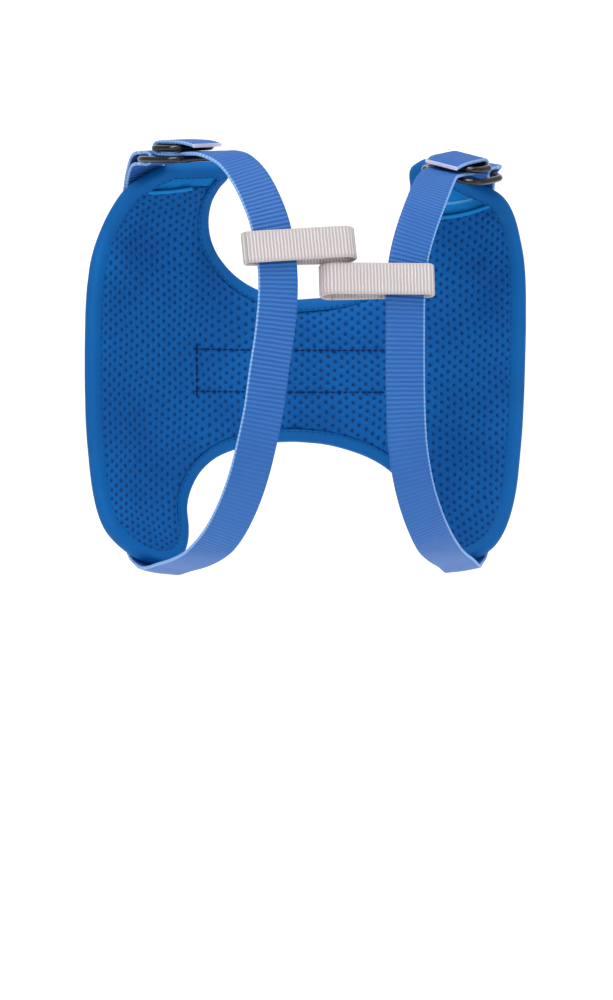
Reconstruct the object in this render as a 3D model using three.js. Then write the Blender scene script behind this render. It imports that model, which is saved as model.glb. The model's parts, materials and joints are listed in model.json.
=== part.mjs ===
// A child's climbing chest harness in its worn shape: a padded butterfly back panel with a perforated
// lining and a wrapped edge, two webbing straps with doubled-back buckles, and two webbing tie-in loops.
// Millimetres, +Z up. The wearer faces -Y, and the wearer's right is -X.
// The origin is on the axis of the torso at the level of the shoulders.

import * as THREE from 'three';

// Clearances
const CLEARANCE = 0.3;
const FOLD_CLEARANCE = 0.5;
const LINING_CLEARANCE = 0.7;
const MERGE_DISTANCE = 0.001;

// Back panel, seen from the front: its finished outline
const PANEL_HALF_WIDTH = 93.5;
const PANEL_HEIGHT = 168;
const PANEL_TOP = 11;

// Back panel, seen from above and from the side: how it wraps the torso
const PANEL_BACK = 55;
const SIDE_WRAP = 36;
const SIDE_ROUNDNESS = 0.83;
const TOP_CURL = 30;
const TOP_CURL_HEIGHT = 40;
const BOTTOM_CURL = 22;
const BOTTOM_CURL_HEIGHT = 42;

// Back panel, its layers
const PAD_THICKNESS = 7;
const PAD_EDGE_THICKNESS = 3;
const PAD_TAPER = 13;
const LINING_THICKNESS = 0.8;
const BINDING_THICKNESS = 0.8;
const BINDING_WIDTH = 5.5;
const PLAIN_TOP_ROWS = { right: 3, left: 4 };

// Webbing
const WEBBING_WIDTH = 16;
const WEBBING_THICKNESS = 1.5;
const WEBBING_STEP = 5.5;
const FOLD_STEP = 1.9;
const CHEST_DEPTH = 65.5;
const SEWN_LENGTH = 26;

// Tie-in loops
const LOOP_LENGTH = 46.4;
const LOOP_HEIGHT = 13;
const LOOP_STRAP_DEPTH = 6.4;
const LOOP_ROPE_DEPTH = 12;
const LOOP_THICKNESS = 1.6;
const LOOP_OVERLAP = 7.5;

// Buckles: a base frame next to the shoulder and a shorter slider frame on top of it
const BASE_WIDTH = 30;
const BASE_LENGTH = 26;
const SLIDER_WIDTH = 25;
const SLIDER_LENGTH = 17;
const BAR_WIDTH = 2.8;
const BAR_THICKNESS = 2;
const FRAME_CORNER = 4;
const FRAME_BOW = 1.2;
const FRAME_BEVEL = 0.5;
const SLIDER_AHEAD = 2.6;
const TAIL_LENGTH = 17.5;

// Colours
const LINING_BLUE = 0x0a5cab;
const SHELL_BLUE = 0x0a74c4;
const BINDING_BLUE = 0x0b7acb;
const WEBBING_BLUE = 0x4a7cc4;
const LOOP_GREY = 0xd8d2cf;
const BUCKLE_BLACK = 0x1c1a18;

// One row for each ruling of a lobe, from its lower tip to its top: the outer end and the inner end,
// across as a share of the panel's half width and down as a share of its height.
// The inner ends follow the arch to the centre line, stay there, then follow the neck curve up.
const ARCH_APEX_ROW = 10;
const NECK_APEX_ROW = 13;
const LOBE_ROWS = {
  right: [
    { outAcross: 0.675, outDown: 1.0, inAcross: 0.6, inDown: 0.999 },
    { outAcross: 0.754, outDown: 0.985, inAcross: 0.551, inDown: 0.979 },
    { outAcross: 0.84, outDown: 0.952, inAcross: 0.522, inDown: 0.946 },
    { outAcross: 0.905, outDown: 0.911, inAcross: 0.513, inDown: 0.905 },
    { outAcross: 0.941, outDown: 0.857, inAcross: 0.515, inDown: 0.863 },
    { outAcross: 0.963, outDown: 0.786, inAcross: 0.495, inDown: 0.818 },
    { outAcross: 0.976, outDown: 0.72, inAcross: 0.444, inDown: 0.768 },
    { outAcross: 0.986, outDown: 0.655, inAcross: 0.369, inDown: 0.732 },
    { outAcross: 0.99, outDown: 0.589, inAcross: 0.273, inDown: 0.71 },
    { outAcross: 0.992, outDown: 0.536, inAcross: 0.139, inDown: 0.694 },
    { outAcross: 0.992, outDown: 0.488, inAcross: 0, inDown: 0.69 },
    { outAcross: 0.991, outDown: 0.434, inAcross: 0, inDown: 0.568 },
    { outAcross: 0.989, outDown: 0.381, inAcross: 0, inDown: 0.445 },
    { outAcross: 0.984, outDown: 0.327, inAcross: 0, inDown: 0.323 },
    { outAcross: 0.973, outDown: 0.274, inAcross: 0.139, inDown: 0.306 },
    { outAcross: 0.959, outDown: 0.232, inAcross: 0.257, inDown: 0.273 },
    { outAcross: 0.937, outDown: 0.193, inAcross: 0.34, inDown: 0.229 },
    { outAcross: 0.905, outDown: 0.149, inAcross: 0.392, inDown: 0.179 },
    { outAcross: 0.866, outDown: 0.107, inAcross: 0.414, inDown: 0.125 },
    { outAcross: 0.816, outDown: 0.068, inAcross: 0.406, inDown: 0.077 },
    { outAcross: 0.754, outDown: 0.042, inAcross: 0.374, inDown: 0.042 },
    { outAcross: 0.69, outDown: 0.021, inAcross: 0.342, inDown: 0.018 },
    { outAcross: 0.61, outDown: 0.003, inAcross: 0.385, inDown: -0.006 },
  ],
  left: [
    { outAcross: 0.716, outDown: 0.997, inAcross: 0.642, inDown: 0.994 },
    { outAcross: 0.791, outDown: 0.981, inAcross: 0.593, inDown: 0.975 },
    { outAcross: 0.861, outDown: 0.952, inAcross: 0.567, inDown: 0.943 },
    { outAcross: 0.909, outDown: 0.914, inAcross: 0.556, inDown: 0.902 },
    { outAcross: 0.95, outDown: 0.857, inAcross: 0.54, inDown: 0.857 },
    { outAcross: 0.975, outDown: 0.792, inAcross: 0.508, inDown: 0.812 },
    { outAcross: 0.987, outDown: 0.72, inAcross: 0.452, inDown: 0.771 },
    { outAcross: 0.995, outDown: 0.655, inAcross: 0.373, inDown: 0.739 },
    { outAcross: 1.0, outDown: 0.589, inAcross: 0.273, inDown: 0.715 },
    { outAcross: 1.003, outDown: 0.536, inAcross: 0.139, inDown: 0.696 },
    { outAcross: 1.005, outDown: 0.488, inAcross: 0, inDown: 0.69 },
    { outAcross: 1.007, outDown: 0.434, inAcross: 0, inDown: 0.568 },
    { outAcross: 1.008, outDown: 0.381, inAcross: 0, inDown: 0.445 },
    { outAcross: 1.008, outDown: 0.327, inAcross: 0, inDown: 0.323 },
    { outAcross: 1.006, outDown: 0.274, inAcross: 0.15, inDown: 0.317 },
    { outAcross: 1.0, outDown: 0.226, inAcross: 0.289, inDown: 0.301 },
    { outAcross: 0.984, outDown: 0.179, inAcross: 0.396, inDown: 0.268 },
    { outAcross: 0.958, outDown: 0.131, inAcross: 0.454, inDown: 0.217 },
    { outAcross: 0.92, outDown: 0.092, inAcross: 0.484, inDown: 0.158 },
    { outAcross: 0.877, outDown: 0.068, inAcross: 0.498, inDown: 0.095 },
    { outAcross: 0.818, outDown: 0.051, inAcross: 0.492, inDown: 0.042 },
    { outAcross: 0.754, outDown: 0.036, inAcross: 0.476, inDown: 0.006 },
    { outAcross: 0.663, outDown: 0.012, inAcross: 0.535, inDown: -0.015 },
  ],
};

// Places of the columns along a ruling, closer together where the pad tapers. The pad has one more at
// each finished edge.
const PAD_COLUMNS = [0, 0.14, 0.38, 0.62, 0.86, 1];
const LINING_COLUMNS = [0, 0.12, 0.3, 0.5, 0.7, 0.88, 1];

// Where each buckle lies and how it is turned. Its centre is across as a share of the panel's half width,
// ahead as a share of the chest depth and down as a share of the panel's height.
const BUCKLE_PLACES = {
  right: { across: 0.62, ahead: 0.183, down: 0.004, heading: 35, noseDown: 5, rollOut: 6 },
  left: { across: 0.648, ahead: 0.183, down: 0.03, heading: 44, noseDown: 11, rollOut: 16 },
};

// The free run of each strap, from the buckle to under the lobe: the place of the webbing's middle
// (shares as above) and the way its inner face looks (out from the centre line, back and up).
const STRAP_ROUTES = {
  right: [
    { across: 0.497, ahead: 0.504, down: 0.003, faceOut: 0, faceBack: 0.25, faceUp: -0.97 },
    { across: 0.428, ahead: 0.641, down: 0.021, faceOut: 0, faceBack: 0.55, faceUp: -0.83 },
    { across: 0.369, ahead: 0.756, down: 0.065, faceOut: 0, faceBack: 0.8, faceUp: -0.6 },
    { across: 0.323, ahead: 0.847, down: 0.125, faceOut: 0, faceBack: 0.93, faceUp: -0.37 },
    { across: 0.289, ahead: 0.916, down: 0.19, faceOut: 0, faceBack: 0.98, faceUp: -0.2 },
    { across: 0.267, ahead: 0.962, down: 0.274, faceOut: 0, faceBack: 1, faceUp: -0.05 },
    { across: 0.265, ahead: 0.985, down: 0.354, faceOut: 0, faceBack: 1, faceUp: 0 },
    { across: 0.278, ahead: 0.992, down: 0.437, faceOut: 0, faceBack: 1, faceUp: 0 },
    { across: 0.306, ahead: 0.992, down: 0.542, faceOut: 0, faceBack: 1, faceUp: 0 },
    { across: 0.328, ahead: 0.992, down: 0.629, faceOut: 0, faceBack: 1, faceUp: 0 },
    { across: 0.355, ahead: 0.977, down: 0.705, faceOut: 0, faceBack: 1, faceUp: 0.05 },
    { across: 0.385, ahead: 0.939, down: 0.78, faceOut: 0, faceBack: 0.98, faceUp: 0.15 },
    { across: 0.422, ahead: 0.855, down: 0.851, faceOut: -0.05, faceBack: 0.93, faceUp: 0.35 },
    { across: 0.471, ahead: 0.702, down: 0.92, faceOut: -0.1, faceBack: 0.8, faceUp: 0.6 },
    { across: 0.524, ahead: 0.511, down: 0.967, faceOut: -0.15, faceBack: 0.55, faceUp: 0.82 },
    { across: 0.577, ahead: 0.275, down: 1.0, faceOut: -0.2, faceBack: 0.3, faceUp: 0.93 },
    { across: 0.631, ahead: 0.046, down: 1.02, faceOut: -0.25, faceBack: 0.05, faceUp: 0.97 },
    { across: 0.674, ahead: -0.153, down: 1.037, faceOut: -0.3, faceBack: -0.2, faceUp: 0.93 },
    { across: 0.7, ahead: -0.34, down: 1.032, faceOut: -0.36, faceBack: -0.5, faceUp: 0.79 },
  ],
  left: [
    { across: 0.508, ahead: 0.443, down: 0.045, faceOut: 0, faceBack: 0.35, faceUp: -0.93 },
    { across: 0.465, ahead: 0.565, down: 0.074, faceOut: 0, faceBack: 0.65, faceUp: -0.76 },
    { across: 0.422, ahead: 0.687, down: 0.113, faceOut: 0, faceBack: 0.83, faceUp: -0.55 },
    { across: 0.374, ahead: 0.802, down: 0.164, faceOut: 0, faceBack: 0.93, faceUp: -0.37 },
    { across: 0.332, ahead: 0.885, down: 0.22, faceOut: 0, faceBack: 0.98, faceUp: -0.2 },
    { across: 0.302, ahead: 0.939, down: 0.28, faceOut: 0, faceBack: 1, faceUp: -0.05 },
    { across: 0.288, ahead: 0.974, down: 0.351, faceOut: 0, faceBack: 1, faceUp: 0 },
    { across: 0.284, ahead: 0.992, down: 0.429, faceOut: 0, faceBack: 1, faceUp: 0 },
    { across: 0.283, ahead: 1.0, down: 0.53, faceOut: 0, faceBack: 1, faceUp: 0 },
    { across: 0.286, ahead: 1.0, down: 0.631, faceOut: 0, faceBack: 1, faceUp: 0 },
    { across: 0.297, ahead: 0.985, down: 0.711, faceOut: 0, faceBack: 1, faceUp: 0.05 },
    { across: 0.32, ahead: 0.947, down: 0.779, faceOut: 0, faceBack: 0.98, faceUp: 0.15 },
    { across: 0.356, ahead: 0.87, down: 0.839, faceOut: -0.05, faceBack: 0.93, faceUp: 0.35 },
    { across: 0.41, ahead: 0.756, down: 0.899, faceOut: -0.1, faceBack: 0.8, faceUp: 0.6 },
    { across: 0.476, ahead: 0.58, down: 0.946, faceOut: -0.15, faceBack: 0.6, faceUp: 0.78 },
    { across: 0.556, ahead: 0.343, down: 0.982, faceOut: -0.2, faceBack: 0.35, faceUp: 0.91 },
    { across: 0.631, ahead: 0.107, down: 1.006, faceOut: -0.25, faceBack: 0.1, faceUp: 0.96 },
    { across: 0.695, ahead: -0.122, down: 1.032, faceOut: -0.3, faceBack: -0.15, faceUp: 0.94 },
    { across: 0.73, ahead: -0.31, down: 1.028, faceOut: -0.36, faceBack: -0.5, faceUp: 0.79 },
  ],
};

// Where the lower end of a strap is sewn to the outside of its lobe, and where the tab of a buckle is:
// across at the edge of the lobe and at the end of the sewn webbing.
const STRAP_SEWN = {
  right: { edgeAcross: 0.715, edgeDown: 0.965, endAcross: 0.74 },
  left: { edgeAcross: 0.75, edgeDown: 0.96, endAcross: 0.775 },
};
const TAB_SEWN = {
  right: { across: 0.715, edgeDown: 0.034, endDown: 0.14 },
  left: { across: 0.77, edgeDown: 0.04, endDown: 0.15 },
};

// Height of the middle of each tie-in loop, as a share of the panel's height, and its roll in degrees
const LOOP_PLACES = {
  right: { down: 0.236, roll: 4 },
  left: { down: 0.316, roll: 0 },
};

const SIDE_SIGNS = { right: -1, left: 1 };
const SIDES = Object.keys(SIDE_SIGNS);

const WEBBING_LAYER = BAR_THICKNESS / 2 + FOLD_CLEARANCE + WEBBING_THICKNESS / 2;
const BAR_REACH = BAR_WIDTH / 2 + FOLD_CLEARANCE + WEBBING_THICKNESS / 2;
const PAD_INSET = BINDING_THICKNESS + CLEARANCE;

function downToZ(down) {
  return PANEL_TOP - down * PANEL_HEIGHT;
}

// How far behind the origin the middle of the pad lies, over a point of the front view
function panelDepth(x, z) {
  const reach = Math.min(Math.abs(x) / PANEL_HALF_WIDTH, 1.15) * SIDE_ROUNDNESS;
  const fullWrap = 1 - Math.sqrt(1 - SIDE_ROUNDNESS ** 2);
  const wrap = (1 - Math.sqrt(1 - reach ** 2)) / fullWrap;
  const topShare = Math.max(0, (z - PANEL_TOP + TOP_CURL_HEIGHT) / TOP_CURL_HEIGHT);
  const bottom = PANEL_TOP - PANEL_HEIGHT;
  const bottomShare = Math.max(0, (bottom + BOTTOM_CURL_HEIGHT - z) / BOTTOM_CURL_HEIGHT);
  return PANEL_BACK - SIDE_WRAP * wrap - TOP_CURL * topShare ** 2 - BOTTOM_CURL * bottomShare ** 2;
}

// The point of the pad's middle surface and its direction away from the wearer
function panelPoint(x, z) {
  return new THREE.Vector3(x, panelDepth(x, z), z);
}

function panelNormal(x, z) {
  const step = 0.5;
  const slopeX = (panelDepth(x + step, z) - panelDepth(x - step, z)) / (2 * step);
  const slopeZ = (panelDepth(x, z + step) - panelDepth(x, z - step)) / (2 * step);
  return new THREE.Vector3(-slopeX, 1, -slopeZ).normalize();
}

function panelOffset(x, z, offset) {
  return panelPoint(x, z).addScaledVector(panelNormal(x, z), offset);
}

// A smooth line through the ends of a table's rows, with two samples a row away from the centre line
function sampledRows(side) {
  const sign = SIDE_SIGNS[side];
  const rows = LOBE_ROWS[side];
  const toPoint = (across, down) => new THREE.Vector3(sign * across * PANEL_HALF_WIDTH, 0, downToZ(down));
  const outer = new THREE.CatmullRomCurve3(rows.map((row) => toPoint(row.outAcross, row.outDown)));
  const archRows = rows.slice(0, ARCH_APEX_ROW + 1);
  const neckRows = rows.slice(NECK_APEX_ROW);
  const arch = new THREE.CatmullRomCurve3(archRows.map((row) => toPoint(row.inAcross, row.inDown)));
  const neck = new THREE.CatmullRomCurve3(neckRows.map((row) => toPoint(row.inAcross, row.inDown)));
  const lastRow = rows.length - 1;
  const samples = [];
  for (let row = 0; row <= lastRow; row += row >= ARCH_APEX_ROW && row < NECK_APEX_ROW ? 1 : 0.5) {
    const sample = { row, outer: outer.getPoint(row / lastRow) };
    if (row <= ARCH_APEX_ROW) {
      sample.inner = arch.getPoint(row / ARCH_APEX_ROW);
    } else if (row >= NECK_APEX_ROW) {
      sample.inner = neck.getPoint((row - NECK_APEX_ROW) / (lastRow - NECK_APEX_ROW));
    }
    samples.push(sample);
  }
  return samples;
}

// One side's edge from the arch's apex round the lobe to the neck's apex. Each point has the direction
// away from the panel and how far a corner pushes an inset along it.
function edgeChain(side) {
  const samples = sampledRows(side);
  const archPart = samples.filter((sample) => sample.row <= ARCH_APEX_ROW).reverse();
  const neckPart = samples.filter((sample) => sample.row >= NECK_APEX_ROW).reverse();
  const chain = [
    ...archPart.map((sample) => ({ point: sample.inner, row: sample.row, end: 'inner' })),
    ...samples.map((sample) => ({ point: sample.outer, row: sample.row, end: 'outer' })),
    ...neckPart.map((sample) => ({ point: sample.inner, row: sample.row, end: 'inner' })),
  ];
  const sign = SIDE_SIGNS[side];
  chain.forEach((entry, index) => {
    const before = chain[index - 1]?.point ?? new THREE.Vector3(-chain[1].point.x, 0, chain[1].point.z);
    const last = chain[chain.length - 2].point;
    const after = chain[index + 1]?.point ?? new THREE.Vector3(-last.x, 0, last.z);
    const arriving = entry.point.clone().sub(before).normalize();
    const leaving = after.clone().sub(entry.point).normalize();
    const along = arriving.clone().add(leaving).normalize();
    entry.away = new THREE.Vector3(sign * along.z, 0, -sign * along.x);
    entry.corner = Math.abs(entry.point.x) < MERGE_DISTANCE ? 1 : 1 / Math.max(0.75, along.dot(leaving));
  });
  return chain;
}

function insetPoint(entry, inset) {
  return entry.point.clone().addScaledVector(entry.away, -inset * entry.corner);
}

// The rulings of one lobe, pulled in from its finished outline
function insetRows(side, inset) {
  const chain = edgeChain(side);
  const find = (row, end) => chain.find((entry) => entry.row === row && entry.end === end);
  const archApex = insetPoint(find(ARCH_APEX_ROW, 'inner'), inset);
  const neckApex = insetPoint(find(NECK_APEX_ROW, 'inner'), inset);
  return sampledRows(side).map(({ row }) => {
    const outer = insetPoint(find(row, 'outer'), inset);
    const innerEntry = find(row, 'inner');
    const share = (row - ARCH_APEX_ROW) / (NECK_APEX_ROW - ARCH_APEX_ROW);
    const inner = innerEntry ? insetPoint(innerEntry, inset) : archApex.clone().lerp(neckApex, share);
    return { row, outer, inner };
  });
}

const CHAINS = { right: edgeChain('right'), left: edgeChain('left') };

function distanceToOutline(point) {
  let best = Infinity;
  const nearest = new THREE.Vector3();
  for (const side of SIDES) {
    const chain = CHAINS[side];
    for (let index = 1; index < chain.length; index += 1) {
      const line = new THREE.Line3(chain[index - 1].point, chain[index].point);
      line.closestPointToPoint(point, true, nearest);
      best = Math.min(best, nearest.distanceTo(point));
    }
  }
  return best;
}

// Half the thickness of the pad at a distance from the finished outline
function padHalf(distance) {
  const share = THREE.MathUtils.smoothstep(distance, PAD_INSET, PAD_TAPER);
  return (PAD_EDGE_THICKNESS + (PAD_THICKNESS - PAD_EDGE_THICKNESS) * share) / 2;
}

function padHalfAt(x, z) {
  return padHalf(distanceToOutline(new THREE.Vector3(x, 0, z)));
}

function meshFromTriangles(name, points, triangles, material) {
  let volume = 0;
  for (const [a, b, c] of triangles) {
    volume += points[a].dot(new THREE.Vector3().crossVectors(points[b], points[c]));
  }
  const facing = volume < 0 ? triangles.map(([a, b, c]) => [a, c, b]) : triangles;
  const geometry = new THREE.BufferGeometry();
  const positions = points.flatMap((point) => [point.x, point.y, point.z]);
  geometry.setAttribute('position', new THREE.Float32BufferAttribute(positions, 3));
  geometry.setIndex(facing.flat());
  geometry.computeVertexNormals();
  const mesh = new THREE.Mesh(geometry, material);
  mesh.name = name;
  return mesh;
}

// The points of each ruling of a side. With an edge ring, a ruling also has the points of the finished
// edge beyond its two ends, and rows along the edge close the ring at the lobe's tip and top.
function ruledPoints(side, inset, columns, ringInset) {
  const rows = insetRows(side, inset).map(({ row, outer, inner }) => ({
    row, points: columns.map((share) => outer.clone().lerp(inner, share)),
  }));
  if (ringInset === null) {
    return rows;
  }
  const ring = insetRows(side, ringInset);
  rows.forEach(({ row, points }, index) => {
    const onCentreLine = row > ARCH_APEX_ROW && row < NECK_APEX_ROW;
    points.unshift(ring[index].outer);
    points.push(onCentreLine ? points[points.length - 1] : ring[index].inner);
  });
  const edgeRow = ({ row, outer, inner }) => ({
    row,
    points: [outer, ...columns.map((share) => outer.clone().lerp(inner, share)), inner],
  });
  return [edgeRow(ring[0]), ...rows, edgeRow(ring[ring.length - 1])];
}

// A closed shell between two surfaces over the rulings of both lobes. offsets gives the distances of its
// inner and outer surface from the middle of the pad.
function panelShell(name, layout, offsets, material) {
  const plan = [];
  const indexOfKey = new Map();
  const cells = [];
  for (const side of SIDES) {
    const rows = ruledPoints(side, layout.inset, layout.columns, layout.ringInset);
    const kept = rows.slice(0, rows.length - layout.rowsLeftOut[side]);
    const grid = kept.map(({ points }) => points.map((point) => {
      const key = `${Math.round(point.x / MERGE_DISTANCE)} ${Math.round(point.z / MERGE_DISTANCE)}`;
      if (!indexOfKey.has(key)) {
        indexOfKey.set(key, plan.length);
        plan.push(point);
      }
      return indexOfKey.get(key);
    }));
    for (let row = 1; row < grid.length; row += 1) {
      for (let column = 1; column < grid[row].length; column += 1) {
        const corners = [
          grid[row - 1][column - 1], grid[row - 1][column], grid[row][column], grid[row][column - 1],
        ];
        cells.push(side === 'right' ? corners : corners.reverse());
      }
    }
  }
  const isWhole = ([a, b, c]) => a !== b && b !== c && c !== a;
  const surface = cells.flatMap(([a, b, c, d]) => [[a, b, c], [a, c, d]]).filter(isWhole);
  const surfaces = plan.map((point) => offsets(padHalfAt(point.x, point.z)));
  const innerPoints = plan.map((point, index) => panelOffset(point.x, point.z, surfaces[index][0]));
  const outerPoints = plan.map((point, index) => panelOffset(point.x, point.z, surfaces[index][1]));
  const count = plan.length;
  const edges = new Map();
  for (const [a, b, c] of surface) {
    for (const [from, to] of [[a, b], [b, c], [c, a]]) {
      edges.set(`${from} ${to}`, [from, to]);
    }
  }
  const triangles = [...surface];
  for (const [a, b, c] of surface) {
    triangles.push([a + count, c + count, b + count]);
  }
  for (const [from, to] of edges.values()) {
    if (!edges.has(`${to} ${from}`)) {
      triangles.push([from, from + count, to], [to, from + count, to + count]);
    }
  }
  return meshFromTriangles(name, [...outerPoints, ...innerPoints], triangles, material);
}

// A section carried along stations, closed on itself or capped. A station gives its section's points.
function sweptMesh(name, sections, closed, material) {
  const size = sections[0].length;
  const points = sections.flat();
  const triangles = [];
  const spans = closed ? sections.length : sections.length - 1;
  for (let span = 0; span < spans; span += 1) {
    const next = (span + 1) % sections.length;
    for (let side = 0; side < size; side += 1) {
      const after = (side + 1) % size;
      const a = span * size + side;
      const b = span * size + after;
      const c = next * size + after;
      const d = next * size + side;
      triangles.push([a, b, c], [a, c, d]);
    }
  }
  if (!closed) {
    const last = (sections.length - 1) * size;
    for (let side = 1; side < size - 1; side += 1) {
      triangles.push([0, side + 1, side], [last, last + side, last + side + 1]);
    }
  }
  return meshFromTriangles(name, points, triangles, material);
}

// The wrapped edge: a folded strip round the whole outline, clear of the pad that it holds
function edgeBinding(material) {
  const leg = (distance) => padHalf(distance) + FOLD_CLEARANCE;
  const outside = (distance) => leg(distance) + BINDING_THICKNESS;
  const noseHalf = PAD_EDGE_THICKNESS / 4;
  const section = [
    [BINDING_WIDTH, outside(BINDING_WIDTH)],
    [BINDING_THICKNESS, outside(BINDING_THICKNESS)],
    [0, noseHalf],
    [0, -noseHalf],
    [BINDING_THICKNESS, -outside(BINDING_THICKNESS)],
    [BINDING_WIDTH, -outside(BINDING_WIDTH)],
    [BINDING_WIDTH, -leg(BINDING_WIDTH)],
    [BINDING_THICKNESS, -leg(PAD_INSET)],
    [BINDING_THICKNESS, leg(PAD_INSET)],
    [BINDING_WIDTH, leg(BINDING_WIDTH)],
  ];
  const loop = [...CHAINS.right.slice(0, -1), ...[...CHAINS.left].reverse().slice(0, -1)];
  const sections = loop.map((entry) => section.map(([inset, offset]) => {
    const point = insetPoint(entry, inset);
    return panelOffset(point.x, point.z, offset);
  }));
  return sweptMesh('edge_binding', sections, true, material);
}

// The place and the axes of a buckle: ahead runs along the strap to the front, side points away from the
// centre line, up is square to the frames.
function buckleFrame(side) {
  const sign = SIDE_SIGNS[side];
  const place = BUCKLE_PLACES[side];
  const heading = THREE.MathUtils.degToRad(place.heading);
  const nose = THREE.MathUtils.degToRad(place.noseDown);
  const roll = THREE.MathUtils.degToRad(place.rollOut);
  const level = new THREE.Vector3(-sign * Math.sin(heading), -Math.cos(heading), 0);
  const levelSide = new THREE.Vector3(sign * Math.cos(heading), -Math.sin(heading), 0);
  const ahead = level.multiplyScalar(Math.cos(nose)).add(new THREE.Vector3(0, 0, -Math.sin(nose)));
  const outward = levelSide.multiplyScalar(Math.cos(roll)).add(new THREE.Vector3(0, 0, -Math.sin(roll)));
  const sideways = outward.addScaledVector(ahead, -outward.dot(ahead)).normalize();
  const up = new THREE.Vector3().crossVectors(ahead, sideways).multiplyScalar(sign).normalize();
  if (up.z < 0) {
    up.negate();
  }
  const centre = new THREE.Vector3(
    sign * place.across * PANEL_HALF_WIDTH,
    -place.ahead * CHEST_DEPTH,
    downToZ(place.down),
  );
  const at = (alongStrap, height) => centre.clone()
    .addScaledVector(ahead, alongStrap)
    .addScaledVector(up, height);
  const direction = (alongStrap, height) => new THREE.Vector3()
    .addScaledVector(ahead, alongStrap)
    .addScaledVector(up, height)
    .normalize();
  return { centre, ahead, sideways, up, at, direction };
}

// Bars of the two frames, along the strap from the buckle's centre
const BASE_BAR = BASE_LENGTH / 2 - BAR_WIDTH / 2;
const SLIDER_REAR_BAR = SLIDER_AHEAD - SLIDER_LENGTH / 2 + BAR_WIDTH / 2;
const SLIDER_FRONT_BAR = SLIDER_AHEAD + SLIDER_LENGTH / 2 - BAR_WIDTH / 2;
const SLIDER_HEIGHT = 2 * WEBBING_LAYER;
const TAIL_HEIGHT = 3 * WEBBING_LAYER;

// Guides of a webbing half turn round a bar, from its top over one end to its underside
function halfTurn(frame, bar, height, reach) {
  const guides = [];
  for (const angle of [0, 30, 60, 90, 120, 150, 180]) {
    const turn = THREE.MathUtils.degToRad(angle);
    const along = Math.sin(turn) * reach;
    const rise = Math.cos(turn) * WEBBING_LAYER;
    guides.push({
      point: frame.at(bar + along, height + rise),
      face: frame.direction(Math.sin(turn) * Math.sign(reach), Math.cos(turn)),
      step: FOLD_STEP,
    });
  }
  return guides;
}

// Webbing on the outside of a lobe, a number of layers away from it
function lobeGuide(side, across, down, layers) {
  const x = SIDE_SIGNS[side] * across * PANEL_HALF_WIDTH;
  const z = downToZ(down);
  const underLayers = (layers - 1) * (WEBBING_THICKNESS + CLEARANCE);
  const bound = padHalfAt(x, z) + FOLD_CLEARANCE + BINDING_THICKNESS;
  const offset = bound + CLEARANCE + underLayers + WEBBING_THICKNESS / 2;
  return {
    point: panelOffset(x, z, offset),
    face: panelNormal(x, z).negate(),
    step: WEBBING_STEP,
  };
}

// The whole strap: its tail on top of the buckle, the fold over the slider, the run down the chest,
// under the arm and up the outside of the lobe
function strapGuides(side) {
  const sign = SIDE_SIGNS[side];
  const frame = buckleFrame(side);
  const tailDrop = WEBBING_THICKNESS * 0.8;
  const tailBend = (SLIDER_FRONT_BAR + TAIL_LENGTH) / 2;
  const guides = [
    { point: frame.at(TAIL_LENGTH, TAIL_HEIGHT - tailDrop), face: frame.direction(0.3, 0.95), step: FOLD_STEP },
    { point: frame.at(tailBend, TAIL_HEIGHT - tailDrop / 3), face: frame.direction(0.2, 0.98), step: FOLD_STEP },
    { point: frame.at(SLIDER_FRONT_BAR, TAIL_HEIGHT), face: frame.up.clone(), step: WEBBING_STEP },
    ...halfTurn(frame, SLIDER_REAR_BAR, SLIDER_HEIGHT, -BAR_REACH),
    { point: frame.at(BASE_BAR, WEBBING_LAYER), face: frame.up.clone().negate(), step: WEBBING_STEP },
  ];
  for (const row of STRAP_ROUTES[side]) {
    guides.push({
      point: new THREE.Vector3(
        sign * row.across * PANEL_HALF_WIDTH,
        -row.ahead * CHEST_DEPTH,
        downToZ(row.down),
      ),
      face: new THREE.Vector3(sign * row.faceOut, row.faceBack, row.faceUp).normalize(),
      step: WEBBING_STEP,
    });
  }
  const sewn = STRAP_SEWN[side];
  const endDown = sewn.edgeDown - SEWN_LENGTH / PANEL_HEIGHT;
  for (const share of [0, 0.33, 0.67, 1]) {
    const across = THREE.MathUtils.lerp(sewn.edgeAcross, sewn.endAcross, share);
    const down = THREE.MathUtils.lerp(sewn.edgeDown, endDown, share);
    guides.push(lobeGuide(side, across, down, 1));
  }
  return guides;
}

// Stations along webbing guides: a smooth line with its faces turned smoothly from guide to guide
function webbingStations(guides) {
  const curve = new THREE.CatmullRomCurve3(guides.map((guide) => guide.point));
  const lastGuide = guides.length - 1;
  const stations = [];
  for (let index = 0; index < lastGuide; index += 1) {
    const start = guides[index];
    const end = guides[index + 1];
    const steps = Math.max(1, Math.round(start.point.distanceTo(end.point) / start.step));
    for (let part = 0; part < steps; part += 1) {
      stations.push(webbingStation(curve, guides, index, part / steps));
    }
  }
  stations.push(webbingStation(curve, guides, lastGuide - 1, 1));
  return stations;
}

function webbingStation(curve, guides, index, share) {
  const place = (index + share) / (guides.length - 1);
  const along = curve.getTangent(place);
  const face = guides[index].face.clone().lerp(guides[index + 1].face, share);
  face.addScaledVector(along, -face.dot(along)).normalize();
  const across = new THREE.Vector3().crossVectors(along, face).normalize();
  return { point: curve.getPoint(place), along, face, across };
}

function webbingMesh(name, guides, material) {
  const half = WEBBING_WIDTH / 2;
  const thin = WEBBING_THICKNESS / 2;
  const sections = webbingStations(guides).map(({ point, face, across }) => (
    [[half, thin], [-half, thin], [-half, -thin], [half, -thin]].map(([sideways, height]) => (
      point.clone().addScaledVector(across, sideways).addScaledVector(face, height)
    ))
  ));
  return sweptMesh(name, sections, false, material);
}

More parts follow.
